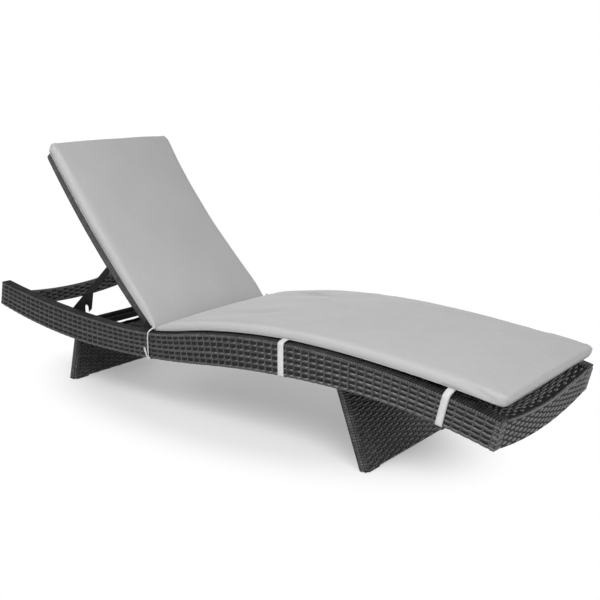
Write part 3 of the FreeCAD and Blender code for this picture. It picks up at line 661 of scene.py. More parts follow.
@dataclass
class Strands:
    """Centre lines of the strands on one body, with the way out of the surface at each point."""

    points: list[np.ndarray] = field(default_factory=list)
    outs: list[np.ndarray] = field(default_factory=list)
    phases: list[np.ndarray] = field(default_factory=list)
    girths: list[np.ndarray] = field(default_factory=list)

    def add(self, points: np.ndarray, out: np.ndarray, phase: Places = LEVEL, girth: float = 1.0) -> None:
        """Adds one strand.

        Args:
            points: its centre line.
            out: the way out of the surface, one vector or one for each point.
            phase: place in the weave; whole even numbers are over a stake, odd ones under it, and LEVEL
                is half-way.
            girth: its size against the form's.
        """
        count = len(points)
        along = unit(np.gradient(points, axis=0))
        square = np.broadcast_to(out, (count, 3)).astype(float)
        self.points.append(points)
        self.outs.append(unit(square - along * (square * along).sum(axis=1, keepdims=True)))
        self.phases.append(np.broadcast_to(phase, (count,)))
        self.girths.append(np.full(count, girth))

    def wind(self, base: np.ndarray, axes: Sequence[np.ndarray], section: np.ndarray, turns: np.ndarray
             ) -> None:
        """Adds one strand wound over an edge.

        Args:
            base: the point that the section is laid round.
            axes: unit vectors of the section's two numbers.
            section: outline of the winding.
            turns: the way out of it at each of its points.
        """
        self.add(base + section @ np.array(axes), turns @ np.array(axes))

    def raised(self) -> Strands:
        """The same strands on the propped back."""
        return replace(self, points=[FRAME.raised(p) for p in self.points],
                       outs=[FRAME.raised(o, True) for o in self.outs])

    def lay(self, name: str, form: StrandForm, finish: Surface) -> Object:
        """Turns the centre lines into one plain mesh of strands.

        Args:
            name: the piece's name.
            form: size of the strands.
            finish: what they are made of.

        Returns:
            The new object.
        """
        mesh = bpy.data.meshes.new(name + "_paths")
        starts = np.cumsum([0] + [len(p) for p in self.points])
        edges = [(i, i + 1) for a, b in zip(starts, starts[1:]) for i in range(a, b - 1)]
        mesh.from_pydata(np.concatenate(self.points).tolist(), edges, [])
        guides = {"phase": ("FLOAT", "value", self.phases), "girth": ("FLOAT", "value", self.girths),
                  "out": ("FLOAT_VECTOR", "vector", self.outs)}
        for label, (kind, key, rows) in guides.items():
            values = np.concatenate(rows).astype(np.float32).ravel()
            mesh.attributes.new(label, kind, "POINT").data.foreach_set(key, values)
        paths = put(mesh.name, mesh)
        modifier = paths.modifiers.new("strands", "NODES")
        modifier.node_group = form.tree()
        sizes = {label.title(): size for label, size in asdict(form).items()}
        sizes["Finish"] = finish.material()
        for item in modifier.node_group.interface.items_tree:
            if item.in_out == "INPUT" and item.name in sizes:
                modifier[item.identifier] = sizes[item.name]
        evaluated = paths.evaluated_get(bpy.context.evaluated_depsgraph_get())
        made = bpy.data.meshes.new_from_object(evaluated)
        made.name = name
        bpy.data.objects.remove(paths)
        bpy.data.meshes.remove(mesh)
        for label in guides:
            if label in made.attributes:
                made.attributes.remove(made.attributes[label])
        return put(name, made)


@dataclass(frozen=True)
class Weave:
    """Pitches of the weave in metres; girths and phases are those of Strands.add.

    The rails have broad strands, all in one phase, with slim sunk ones between them. Everything else is a
    plain weave of even strands. Below zero, lift and sunk put a strand's middle inside a face or an edge,
    so that part of it shows. A brick is one stretch of a broad strand between two stakes, as steps of
    place in stakes and phase.
    """

    row: float = 0.0074
    stake: float = 0.0255
    wrap: float = 0.0074
    lift: float = -0.0007
    sunk: float = -0.0015
    edge: float = 0.009
    end_gap: float = 0.004
    stake_girth: float = 0.8
    broad_girth: float = 1.05
    slim_girth: float = 0.60
    slim_sunk: float = 0.0004
    # Phases past LEVEL also carry painted shade: the strand finish darkens strands the more they tuck under,
    # so the slim strands, the stakes and each brick's dip under a stake come out darker.
    slim_phase: float = 0.57
    stake_phase: float = 0.525
    brick: tuple[Pair, ...] = ((-0.36, 0.40), (-0.13, 0.0), (0.13, 0.0), (0.36, 0.40), (0.5, 1.0))

    def girth(self, row: int) -> float:
        """Girth of a rail's row: a broad strand, then a slim one."""
        return self.slim_girth if row % 2 else self.broad_girth

    def bricks(self, start: float, end: float) -> tuple[np.ndarray, np.ndarray]:
        """Places along a broad row that shows between all stakes and dips under each of them.

        Args:
            start: where the row begins.
            end: where it ends.

        Returns:
            The places, a stake further at both ends, and the row's phase at each.
        """
        steps = np.array(self.brick)
        count = np.arange(math.floor(start / self.stake) - 1, math.ceil(end / self.stake) + 2)
        return ((count[:, None] + steps[:, 0]) * self.stake).ravel(), np.tile(steps[:, 1], len(count))

    def columns(self, start: float, end: float, margin: float = 0.2) -> np.ndarray:
        """Places along a row, four to a stake, with both ends.

        Args:
            start: the row's lower end.
            end: the row's upper end.
            margin: share of a step that stays free at both ends.

        Returns:
            The places, from the lower to the upper end.
        """
        step = self.stake / 4
        inside = np.arange(math.ceil(start / step + margin), math.floor(end / step - margin) + 1) * step
        return np.concatenate([[start], inside, [end]])

    def stakes(self, start: float, end: float) -> np.ndarray:
        """Places of the stakes between two ends."""
        return np.arange(math.ceil(start / self.stake), math.floor(end / self.stake) + 1) * self.stake


WEAVE = Weave()
FORM = StrandForm()


@dataclass
class SideRail:
    """A wave-shaped rail: rows of strands on its faces, wraps over its top, a turned head end."""

    side: Side
    rows: int = 10
    edge_rows: int = 4
    slim_points: int = 80
    stake_shares: tuple[float, ...] = (0.0, 0.35, 0.7, 1.0)
    first_wrap: float = 0.003
    last_wrap: float = 0.002
    wrap_round: float = 0.004
    wrap_corner: Pair = (0.0016, 0.0012)
    head_overlap: float = 0.014
    head_corner: float = 0.003
    strands: Strands = field(default_factory=Strands)

    @property
    def middle(self) -> float:
        """Where the rail's middle is."""
        return self.side.value * FRAME.rail_middle

    def end_x(self, share: Places) -> tuple[Places, Places]:
        """Head and foot end of the rail at a share of its height."""
        return -FRAME.half_length + FRAME.head_rake * share, FRAME.half_length - FRAME.foot_rake * (1 - share)

    def face_height(self, x: np.ndarray, share: Places) -> np.ndarray:
        """Height on a side face at a share between the lower edge and the wraps."""
        low = LOW.height(x)
        return low + (TOP.height(x) - WEAVE.edge - low) * share

    def leant(self, x: Places, share: Places) -> np.ndarray:
        """Places at a share of the rail's height, on lines through x half-way up and square to its run."""
        up = TOP.up(x) + LOW.up(x)
        return x + up[:, 0] / up[:, 2] * (share - 0.5) * (TOP.height(x) - LOW.height(x))

    def brick_row(self, share: float) -> tuple[np.ndarray, np.ndarray]:
        """A broad row.

        Args:
            share: share of the rail's height.

        Returns:
            Its places along the rail, with both ends, and the phase at each.
        """
        start, end = self.end_x(share)
        x, phase = WEAVE.bricks(start, end)
        x = self.leant(x, share)
        inside = (x > start + WEAVE.end_gap) & (x < end - WEAVE.end_gap)
        return np.concatenate([[start], x[inside], [end]]), np.concatenate([[LEVEL], phase[inside], [LEVEL]])

    def weave_face(self, y: float, way: float) -> None:
        """Rows and stakes of one side face.

        Args:
            y: where the face is.
            way: sign of the way out of it.
        """
        out = ACROSS * way
        y_out = y + way * WEAVE.lift
        for row in range(self.rows):
            share = (row + 0.5) / self.rows
            if row % 2:
                x, phase = np.linspace(*self.end_x(share), self.slim_points), WEAVE.slim_phase
                y_row = y_out - way * WEAVE.slim_sunk
            else:
                (x, phase), y_row = self.brick_row(share), y_out
            self.strands.add(points_at(x, y_row, self.face_height(x, share)), out, phase, WEAVE.girth(row))
        shares = np.array(self.stake_shares)
        head, foot = self.end_x(shares)
        for middle in WEAVE.stakes(-FRAME.half_length, FRAME.half_length) + WEAVE.stake / 2:
            x = self.leant(middle, shares)
            if np.all(x >= head + WEAVE.end_gap) and np.all(x <= foot - WEAVE.end_gap):
                self.strands.add(points_at(x, y_out, self.face_height(x, shares)), out, WEAVE.stake_phase,
                                 WEAVE.stake_girth)

    def weave_underside(self) -> None:
        """Rows along the rail's lower face."""
        x = WEAVE.columns(*self.end_x(0.0))
        pitch = FRAME.rail_width / self.edge_rows
        for row in range(self.edge_rows):
            y = self.side.value * (FRAME.inner + pitch * (row + 0.5))
            self.strands.add(LOW.lifted(x, -WEAVE.sunk) + ACROSS * y, -LOW.up(x), x / WEAVE.stake + row)

    def wrap_top(self) -> None:
        """Strands wound over the rail's upper edge."""
        head, foot = self.end_x(1.0)
        half = FRAME.rail_width / 2
        reach = half + WEAVE.lift
        drop, inset = self.wrap_corner
        section = mirrored([(-WEAVE.edge, reach), (-self.wrap_round, reach), (-drop, half - inset),
                            (WEAVE.sunk, half - self.wrap_round), (WEAVE.sunk, half / 3)], shared=False)
        turns = mirrored([(0.0, 1.0), (0.2, 1.0), (0.7, 0.7), (1.0, 0.2), (1.0, 0.0)], shared=False)
        for x in np.arange(head + self.first_wrap, foot - self.last_wrap, WEAVE.wrap):
            base = TOP.lifted(x, 0.0)[0] + ACROSS * self.middle
            self.strands.wind(base, (TOP.up(x)[0], ACROSS * self.side.value), section, turns)

    def turn_head_end(self) -> None:
        """Rows that turn round the rail's head end."""
        half = FRAME.rail_width / 2 + WEAVE.lift
        section = mirrored([(self.head_overlap, half), (self.head_corner, half),
                            (-WEAVE.sunk, half - self.head_corner), (-WEAVE.sunk, 0.0)])
        turns = mirrored([(0, 1), (-0.4, 1), (-1, 0.5), (-1, 0)])
        for row in range(self.rows):
            share = (row + 0.5) / self.rows
            x = self.end_x(share)[0] + section[:, 0]
            points = points_at(x, self.middle + section[:, 1], self.face_height(x, share))
            self.strands.add(points, points_at(turns[:, 0], turns[:, 1], 0.0), girth=WEAVE.girth(row))

    def build(self) -> Object:
        """Builds the rail's strands and seats them."""
        sign = self.side.value
        self.weave_face(sign * FRAME.half_width, sign)
        self.weave_face(sign * FRAME.inner, -sign)
        self.weave_underside()
        self.wrap_top()
        self.turn_head_end()
        return settle(self.strands.lay("rail_strands_" + self.side.tag, FORM, STRAND), "frame", Slot.WICKER)


@dataclass
class EndBands:
    """The woven bands at the foot end and the head end."""

    foot_rows: int = 9
    foot_rim: float = 0.004
    corner_step: float = 0.004
    corner_turn: Pair = (0.012, 0.003)
    rim_inset: float = 0.003
    rim_out: Triple = (0.4, 0.0, 0.9)
    rim_points: int = 41
    deck_drop: float = 0.006
    dish: float = 0.022
    head_x: float = -0.902
    head_drop: float = 0.0375
    head_depth: float = 0.028
    head_height: float = 0.044
    head_dish: float = 0.020
    head_rows: int = 6
    band_strands: int = 4
    strands: Strands = field(default_factory=Strands)

    def sag(self, y: np.ndarray, depth: float) -> np.ndarray:
        """How far a band hangs between the rails."""
        return depth * np.clip(1 - (y / FRAME.inner) ** 2, 0, 1)

    def build_foot(self) -> None:
        """Rows from rail to rail over the foot end, turned round both corners, and one along its rim."""
        corner = FRAME.half_width + WEAVE.lift
        middle = WEAVE.columns(self.corner_step - corner, corner - self.corner_step)
        y = np.concatenate([[-corner, -corner], middle, [corner, corner]])
        back = np.zeros_like(y)
        back[[0, -1]], back[[1, -2]] = self.corner_turn
        on_face = back == 0
        top_z = float(TOP.height(FRAME.half_length))
        low_z = float(LOW.height(FRAME.half_length - FRAME.foot_rake))
        blend = np.clip((FRAME.half_width - np.abs(y)) / FRAME.rail_width, 0, 1)
        sag = self.sag(y, self.dish)
        upper = top_z - self.deck_drop * blend - sag
        lower = low_z - sag
        lean = math.atan2(FRAME.foot_rake, top_z - low_z)
        out = np.array((math.cos(lean), 0.0, -math.sin(lean)))
        outs = np.broadcast_to(out, (len(y), 3)).copy()
        outs[[0, -1]] = (0, -1, 0), (0, 1, 0)
        outs[[1, -2]] = (0.7, -0.7, 0), (0.7, 0.7, 0)
        for row in range(self.foot_rows):
            z = lower + (upper - self.foot_rim - lower) * (row + 0.5) / self.foot_rows
            x = FRAME.half_length - (top_z - z - sag) * math.tan(lean) - back
            points = points_at(x, y, z) + out * WEAVE.lift * on_face[:, None]
            self.strands.add(points, outs, np.where(on_face, y / WEAVE.stake + row, LEVEL))
        rim = np.linspace(-FRAME.inner, FRAME.inner, self.rim_points)
        rise = top_z - self.deck_drop - self.sag(rim, self.dish)
        self.strands.add(points_at(FRAME.half_length - self.rim_inset, rim, rise), np.array(self.rim_out))

    def build_head(self) -> None:
        """Rows on both faces of the head band and straight strands along its upper and lower edge."""
        top = float(BACK.height(self.head_x)) - self.head_drop
        low = top - self.head_height
        y = WEAVE.columns(-FRAME.inner, FRAME.inner)
        sag = self.sag(y, self.head_dish)
        for x, way in ((self.head_x, 1.0), (self.head_x - self.head_depth, -1.0)):
            for row in range(self.head_rows):
                z = top - self.head_height * (1 - (row + 0.5) / self.head_rows) - sag
                self.strands.add(points_at(x + way * WEAVE.lift, y, z), np.array((way, 0.0, 0.0)),
                                 y / WEAVE.stake + row)
        for number in range(self.band_strands):
            x = self.head_x - self.head_depth * (number + 0.5) / self.band_strands
            for rise, way in ((top + WEAVE.lift / 2, 1.0), (low - WEAVE.lift / 2, -1.0)):
                self.strands.add(points_at(x, y, rise - sag), np.array((0.0, 0.0, way)))

    def build(self) -> Object:
        """Builds both bands and seats them."""
        self.build_foot()
        self.build_head()
        return settle(self.strands.lay("end_band_strands", FORM, STRAND), "frame", Slot.WICKER)


@dataclass
class Deck:
    """A dished woven sheet on the rails' upper edge: the seat, or the back laid flat."""

    name: str
    node: str
    body: str
    start_x: float
    end_x: float
    half_span: float
    drop: float
    dish: float
    edge: Wave = TOP
    propped: bool = False
    start_gap: float = 0.003
    stake_gap: float = 0.01
    stake_points: int = 48

    def build(self) -> Object:
        """Builds the sheet's strands and stakes and seats them."""
        strands = Strands()
        y = WEAVE.columns(-self.half_span, self.half_span)
        sag = self.dish * (1 - (y / self.half_span) ** 2)
        places = np.arange(self.end_x + WEAVE.end_gap, self.start_x - self.start_gap, WEAVE.row)
        for row, x in enumerate(places):
            points = self.edge.lifted(np.full_like(y, x), -self.drop) + ACROSS * y[:, None]
            up = self.edge.up(x)[0]
            strands.add(points - up * sag[:, None], up, y / WEAVE.stake + row)
        along = np.linspace(self.end_x, self.start_x, self.stake_points)
        for stake in WEAVE.stakes(-self.half_span + self.stake_gap, self.half_span - self.stake_gap):
            fall = self.drop + self.dish * (1 - (stake / self.half_span) ** 2)
            strands.add(self.edge.lifted(along, -fall) + ACROSS * stake, self.edge.up(along),
                        girth=WEAVE.stake_girth)
        if self.propped:
            strands = strands.raised()
        return settle(strands.lay(self.name, FORM, STRAND), self.body, Slot.WICKER, self.node)


@dataclass
class BackEdges:
    """Strands wound round the back's two side tubes."""

    outer: float = 0.237
    width: float = 0.026
    drop: float = 0.0005
    depth: float = 0.036
    corner: float = 0.0035
    heel: float = 0.012
    end_x: float = -0.916

    def build(self) -> Object:
        """Builds the windings and seats them."""
        strands = Strands()
        straight_y = self.width / 2 + WEAVE.lift - self.corner
        straight_z = self.depth / 2 + WEAVE.sunk / 2 - self.corner
        quarters = np.repeat([(1, 1), (-1, 1), (-1, -1), (1, -1)], 3, axis=0)
        angles = np.radians([90 * quarter + 45 * step for quarter in range(4) for step in range(3)])
        turns = np.stack([np.cos(angles), np.sin(angles)], axis=1)
        ring = quarters * (straight_y, straight_z) + self.corner * turns
        ring, turns = (np.concatenate([pairs, pairs[:1]]) for pairs in (ring, turns))
        for side in Side:
            middle = side.value * (self.outer - self.width / 2)
            for x in np.arange(self.end_x + WEAVE.end_gap, FRAME.hinge_x + self.heel, WEAVE.wrap):
                base = BACK.lifted(x, -self.drop - self.depth / 2)[0] + ACROSS * middle
                strands.wind(base, (ACROSS * side.value, BACK.up(x)[0]), ring, turns)
        return settle(strands.raised().lay("back_edge_strands", FORM, STRAND), "back", Slot.WICKER)


@dataclass
class LegBoard:
    """A folding leg board: rows on both faces, strands wound over both upright edges."""

    name: str
    foot_x: float
    pivot_z: float
    lean: float
    way: float
    half_width: float = 0.2305
    half_thickness: float = 0.010
    top: float = 0.026
    floor_gap: float = 0.004
    edge: float = 0.010
    overlap: float = 0.002
    corner: Pair = (0.0006, 0.0024)
    first_wrap: float = 0.003
    stake_gap: float = 0.02
    stake_points: int = 5

    def build(self) -> Object:
        """Builds the board's strands and seats them."""
        lean = math.radians(self.lean)
        pivot = np.array((self.foot_x - self.way * self.pivot_z * math.tan(lean), 0.0, self.pivot_z))
        down = np.array((self.way * math.sin(lean), 0.0, -math.cos(lean)))
        face = np.array((self.way * math.cos(lean), 0.0, math.sin(lean)))
        strands = Strands()
        reach = self.half_thickness + WEAVE.lift
        y = WEAVE.columns(-self.half_width + self.edge, self.half_width - self.edge)
        for way in (1.0, -1.0):
            start = pivot + face * way * reach
            end = (start[2] - self.floor_gap) / math.cos(lean)
            rows = round((end - self.top) / WEAVE.row)
            pitch = (end - self.top) / rows
            for row in range(rows):
                place = start + down * (self.top + pitch * (row + 0.5))
                strands.add(place + ACROSS * y[:, None], face * way, y / WEAVE.stake + row)
            line = start + down * np.linspace(self.top, end, self.stake_points)[:, None]
            for stake in WEAVE.stakes(-self.half_width + self.stake_gap, self.half_width - self.stake_gap):
                strands.add(line + ACROSS * stake, face * way, girth=WEAVE.stake_girth)
        limit = self.half_width + WEAVE.lift
        straight = self.half_width - self.overlap
        section = mirrored([(straight - self.edge, reach), (straight, reach),
                            (limit - self.corner[0], reach - self.corner[1]), (limit, 0.0)])
        turns = mirrored([(0, 1), (0.3, 1), (1, 0.6), (1, 0)])
        end = (self.pivot_z - self.floor_gap) / math.cos(lean) - WEAVE.end_gap
        for side in Side:
            for place in np.arange(self.top + self.first_wrap, end, WEAVE.wrap):
                strands.wind(pivot + down * place, (ACROSS * side.value, face), section, turns)
        return settle(strands.lay(self.name + "_strands", FORM, STRAND), self.name, Slot.WICKER)


@dataclass(frozen=True)
class Padding:
    """How a cushion half is stuffed and sewn, in metres."""

    draw_in: float = 0.005
    thickness: float = 0.031
    seam: float = 0.010
    taper: float = 0.11
    taper_power: float = 2.2
    crown: float = 0.005
    side: float = 0.011
    end: float = 0.015
    corner: float = 0.024
    thinnest: float = 0.0004
    lift: float = 0.0022
    roundness: float = 2.6
    pressure: float = 3.0
    mass: float = 0.3
    stretch: float = 25.0
    bend: float = 4.0
    swell: float = 0.004
    frames: int = 20
    calm: float = 0.30
    welt: StrandForm = StrandForm(width=0.0026, thickness=0.0020, bulge=0.0)
    welt_gap: float = 0.0004


@dataclass(frozen=True)
class Wrinkles:
    """Small unevenness of a cushion's skin: depths and reaches in metres, waves in radians a metre."""

    ripple: float = 0.0006
    ripple_along: Pair = (23.0, 17.0)
    ripple_across: Pair = (29.0, 11.0)
    ripple_bend: float = 1.3
    pucker: float = 0.0022
    corner_share: float = 0.6
    corner_folds: float = 7.0
    corner_reach: float = 0.045
    strap_reach: Pair = (0.022, 0.030)
    crease_share: float = 0.35
    crease_width: float = 0.006
    crease_reach: Pair = (0.040, 0.025)

    def ripples(self, x: np.ndarray, y: np.ndarray) -> np.ndarray:
        """Slight waves all over the skin."""
        (a, b), (c, d) = self.ripple_along, self.ripple_across
        return self.ripple * np.sin(x * a + np.sin(y * b)) * np.sin(y * c + self.ripple_bend * np.sin(x * d))

    def corner(self, gap_x: np.ndarray, gap_y: np.ndarray) -> np.ndarray:
        """Folds that fan out from a corner.

        Args:
            gap_x: distances from the corner along the cushion.
            gap_y: distances from it across.

        Returns:
            How far the skin rises.
        """
        fan = np.cos(self.corner_folds * np.arctan2(gap_y, gap_x + 1e-6))
        fade = np.exp(-(np.hypot(gap_x, gap_y) / self.corner_reach) ** 2)
        return self.corner_share * self.pucker * fan * fade

    def strap(self, off: np.ndarray, gap_y: np.ndarray) -> np.ndarray:
        """The dip and the creases at a strap.

        Args:
            off: distances from the strap along the cushion.
            gap_y: distances from the cushion's side.

        Returns:
            How far the skin rises.
        """
        dip, crease = (np.exp(-(off / along) ** 2 - (gap_y / across) ** 2)
                       for along, across in (self.strap_reach, self.crease_reach))
        return self.pucker * (self.crease_share * np.cos(off / self.crease_width) * crease - dip)


@dataclass
class CushionHalf:
    """One half of the cushion, laid along the rails' upper edge.

    A ring of its skin starts at the underside's edge: side, top, other side, underside.
    """

    name: str
    node: str
    body: str
    start_x: float
    end_x: float
    edge: Wave = TOP
    half_width: float = 0.262
    propped: bool = False
    foot_rise: float = 0.0
    rise_start: float = 0.6
    strap_places: tuple[float, ...] = ()
    padding: Padding = Padding()
    wrinkles: Wrinkles = Wrinkles()
    along: int = 150
    crowding: float = 0.35
    side_points: int = 15
    top_points: int = 56
    low_points: int = 38
    held_edges: tuple[int, int] = (0, 84)
    welt_lines: tuple[int, int] = (3, 81)
    welt_ends: tuple[int, int] = (4, -3)

    @property
    def length(self) -> float:
        """Length along the lounger."""
        return abs(self.end_x - self.start_x)

    @property
    def around(self) -> int:
        """Points of each ring."""
        return 2 * self.side_points + self.top_points + self.low_points

    def stations(self) -> np.ndarray:
        """Shares of the length, close together at both ends."""
        even = np.linspace(0, 1, self.along)
        return (1 - np.cos(np.pi * even)) / 2 * self.crowding + even * (1 - self.crowding)

    def section(self, height: float, half: float, crown: float) -> np.ndarray:
        """Outline of the cushion across.

        Args:
            height: thickness at the side.
            half: half its width.
            crown: how much higher its middle is.

        Returns:
            Pairs of places across and heights.
        """
        bulge = min(self.padding.side, height / 2)
        edge = half - bulge
        turn = np.linspace(-np.pi / 2, np.pi / 2, self.side_points)
        power = 2 / self.padding.roundness
        side_y = edge + bulge * np.abs(np.cos(turn)) ** power
        side_z = height / 2 * (1 + np.sign(np.sin(turn)) * np.abs(np.sin(turn)) ** power)
        top_y = np.linspace(edge, -edge, self.top_points + 2)[1:-1]
        top_z = height + crown * (1 - (top_y / edge) ** 2)
        low_y = np.linspace(-edge, edge, self.low_points + 2)[1:-1]
        y = np.concatenate([side_y, top_y, -side_y[::-1], low_y])
        z = np.concatenate([side_z, top_z, side_z[::-1], np.zeros_like(low_y)])
        return np.stack([y, z], axis=1)

    def rings(self) -> np.ndarray:
        """Outlines of the cushion, one for each station, in the flat place."""
        pad = self.padding
        rings = []
        for share in self.stations():
            x = self.start_x + (self.end_x - self.start_x) * share
            full = 1 - (1 - min(share * self.length / pad.taper, 1.0)) ** pad.taper_power
            height = pad.seam + (pad.thickness - pad.seam) * full
            near_end, near_corner = (min((1 - share) * self.length / reach, 1.0)
                                     for reach in (pad.end, pad.corner))
            shrink = max(1 - (1 - near_end) ** pad.roundness, 0.0) ** (1 / pad.roundness)
            half = self.half_width - pad.draw_in * 4 * share * (1 - share)
            half -= pad.corner * (1 - math.sqrt(1 - (1 - near_corner) ** 2))
            raise_end = self.foot_rise * (max(share - self.rise_start, 0.0) / (1 - self.rise_start)) ** 2
            outline = self.section(max(height * shrink, pad.thinnest), half, pad.crown * full * shrink)
            rise = pad.lift + raise_end + height * (1 - shrink) / 2 + outline[:, 1]
            rings.append(self.edge.lifted(np.full(self.around, x), rise) + ACROSS * outline[:, :1])
        return np.array(rings)

    def skin(self) -> Object:
        """The cushion's closed skin with a UV map in metres."""
        rings = self.rings()
        points = rings.reshape(-1, 3)
        if self.propped:
            points = FRAME.raised(points)
        steps = np.linalg.norm(np.diff(rings, axis=0), axis=2).mean(axis=1)
        u = np.concatenate([[0], np.cumsum(steps)])
        v = run_length(rings[self.along // 2])
        uv = np.stack([np.repeat(u, self.around), np.tile(v, self.along)], axis=1)
        faces = tube_faces(self.along, self.around, flip=self.end_x < self.start_x)
        return plain_mesh(self.name, points, faces, COVER.material(), uv)

    def inflate(self, piece: Object) -> None:
        """Swells the skin by a short cloth simulation, its underside held.

        Args:
            piece: the cushion's skin.
        """
        pad, around = self.padding, self.around
        rest = vertex_values(piece.data, "co")
        held = piece.vertex_groups.new(name="held")
        underside = {*range(around - self.low_points, around), *self.held_edges}
        ends = {0, 1, self.along - 1, self.along - 2}
        pinned = [i for i in range(len(rest)) if i % around in underside or i // around in ends]
        held.add(pinned, 1.0, "REPLACE")
        cloth = piece.modifiers.new("stuffing", "CLOTH")
        cloth.settings.effector_weights.gravity = 0.0
        for name, value in {"vertex_group_mass": "held", "use_pressure": True, "quality": 5, "mass": pad.mass,
                            "uniform_pressure_force": pad.pressure, "tension_stiffness": pad.stretch,
                            "compression_stiffness": pad.stretch, "bending_stiffness": pad.bend}.items():
            setattr(cloth.settings, name, value)
        cloth.collision_settings.use_collision = False
        cloth.point_cache.frame_end = pad.frames
        for frame in range(1, pad.frames + 1):
            bpy.context.scene.frame_set(frame)
        evaluated = piece.evaluated_get(bpy.context.evaluated_depsgraph_get())
        moved = vertex_values(evaluated.data, "co") - rest
        piece.modifiers.remove(cloth)
        piece.vertex_groups.remove(held)
        bpy.context.scene.frame_set(1)
        moved *= np.minimum(1.0, pad.swell / np.maximum(np.linalg.norm(moved, axis=1, keepdims=True), TINY))
        from_hinge = np.repeat(self.stations(), around) * self.length
        moved *= np.clip(from_hinge / pad.calm, 0, 1)[:, None] ** 2
        move_vertices(piece.data, rest + moved)

    def wrinkle(self, piece: Object) -> None:
        """Draws the skin in at the corners and where the straps hold it, over a slight ripple.

        Args:
            piece: the cushion's skin.
        """
        x, y = self.rings().reshape(-1, 3)[:, :2].T
        rise = self.wrinkles.ripples(x, y)
        for side in Side:
            gap_y = np.abs(y - side.value * self.half_width)
            rise += self.wrinkles.corner(np.abs(x - self.end_x), gap_y)
            for place in self.strap_places:
                rise += self.wrinkles.strap(x - place, gap_y)
        normals = vertex_values(piece.data, "normal")
        move_vertices(piece.data, vertex_values(piece.data, "co") + normals * rise[:, None])

    def seam(self) -> Object:
        """The welt along the lower edge of both sides."""
        strands = Strands()
        rings = self.rings()
        first, last = self.welt_ends
        for line, sign in zip(self.welt_lines, (1.0, -1.0)):
            path = rings[first:last, line] + ACROSS * sign * self.padding.welt_gap
            strands.add(path, ACROSS * sign)
        if self.propped:
            strands = strands.raised()
        return strands.lay(self.name + "_welt", self.padding.welt, COVER)

    def build(self) -> Object:
        """Builds the cushion half and seats it."""
        piece = self.skin()
        self.inflate(piece)
        self.wrinkle(piece)
        settle(piece, self.body, Slot.CLOTH, self.node)
        settle(self.seam(), self.body, Slot.CLOTH)
        return piece


@dataclass
class Strap:
    """A flat tape from the cushion's lower seam, down a rail and round it."""

    place: str
    side: Side
    x: float
    slant: float
    width: float = 0.020
    thickness: float = 0.0013
    ribs: int = 3
    rib_height: float = 0.0004
    clear: float = 0.0036
    sewn_y: float = 0.250
    sewn_height: float = 0.0067
    rise: float = 0.0
    rise_share: float = 0.3
    top_clear: float = 0.0034
    corner: float = 0.003
    corner_drop: float = 0.001
    belly: float = 0.0004
    inside_end: float = 0.018
    step: float = 0.010

    @property
    def node(self) -> str:
        """The CAD node that the strap stands for."""
        return f"{self.place}_strap_{self.side.tag}"

    def profile(self) -> np.ndarray:
        """Outline of the tape with its lengthwise ribs, as places across and heights."""
        across = np.linspace(-0.5, 0.5, 4 * self.ribs + 1)
        ribs = np.abs(np.cos(np.pi * self.ribs * across)) * self.rib_height
        upper = np.stack([across * self.width, self.thickness / 2 + ribs], axis=1)
        lower = across[::-1][::3] * self.width
        return np.concatenate([upper, np.stack([lower, np.full_like(lower, -self.thickness / 2)], axis=1)])

    def path(self) -> np.ndarray:
        """Centre line of the tape, from the cushion's seam round the rail to its inner face."""
        half = FRAME.rail_width / 2
        top, low = float(TOP.height(self.x)), float(LOW.height(self.x))
        reach, under = half + self.clear, low - self.clear
        corners = [(self.sewn_y - FRAME.rail_middle, top + self.sewn_height + self.rise),
                   (half - self.corner, top + self.top_clear + self.rise_share * self.rise),
                   (reach, top - self.corner_drop), (reach + self.belly, (top + low) / 2),
                   (reach, low + self.corner_drop), (half - self.corner, under), (self.corner - half, under),
                   (-reach, low + self.corner_drop), (-reach, top - self.inside_end)]
        dense = []
        for (a, b), (c, d) in zip(corners, corners[1:]):
            pieces = max(1, round(math.hypot(c - a, d - b) / self.step))
            dense += [(0.0, a + (c - a) * t / pieces, b + (d - b) * t / pieces) for t in range(pieces)]
        _, y, z = smooth_path([*dense, (0.0, *corners[-1])], rounds=2).T
        x = self.x + self.slant * (z - (top + low) / 2) / (top - low)
        return points_at(x, self.side.value * (FRAME.rail_middle + y), z)

    def build(self) -> Object:
        """Sweeps the tape along its path, turns its faces outwards and seats it."""
        path, outline = self.path(), self.profile()
        along = unit(np.gradient(path, axis=0))
        tangent = np.cross(TOP.up(self.x)[0], ACROSS)
        wide = unit(tangent - along * (along @ tangent)[:, None])
        out = np.cross(wide, along) * self.side.value
        rings = path[:, None] + wide[:, None] * outline[None, :, :1] + out[:, None] * outline[None, :, 1:]
        count, around, _ = rings.shape
        uv = np.stack([np.repeat(run_length(path), around), np.tile(outline[:, 0], count)], axis=1)
        piece = plain_mesh(self.node + "_tape", rings.reshape(-1, 3), tube_faces(count, around),
                           TAPE.material(), uv)
        shape = bmesh.new()
        shape.from_mesh(piece.data)
        bmesh.ops.recalc_face_normals(shape, faces=shape.faces)
        shape.to_mesh(piece.data)
        shape.free()
        return settle(piece, "frame", Slot.WEBBING, self.node)


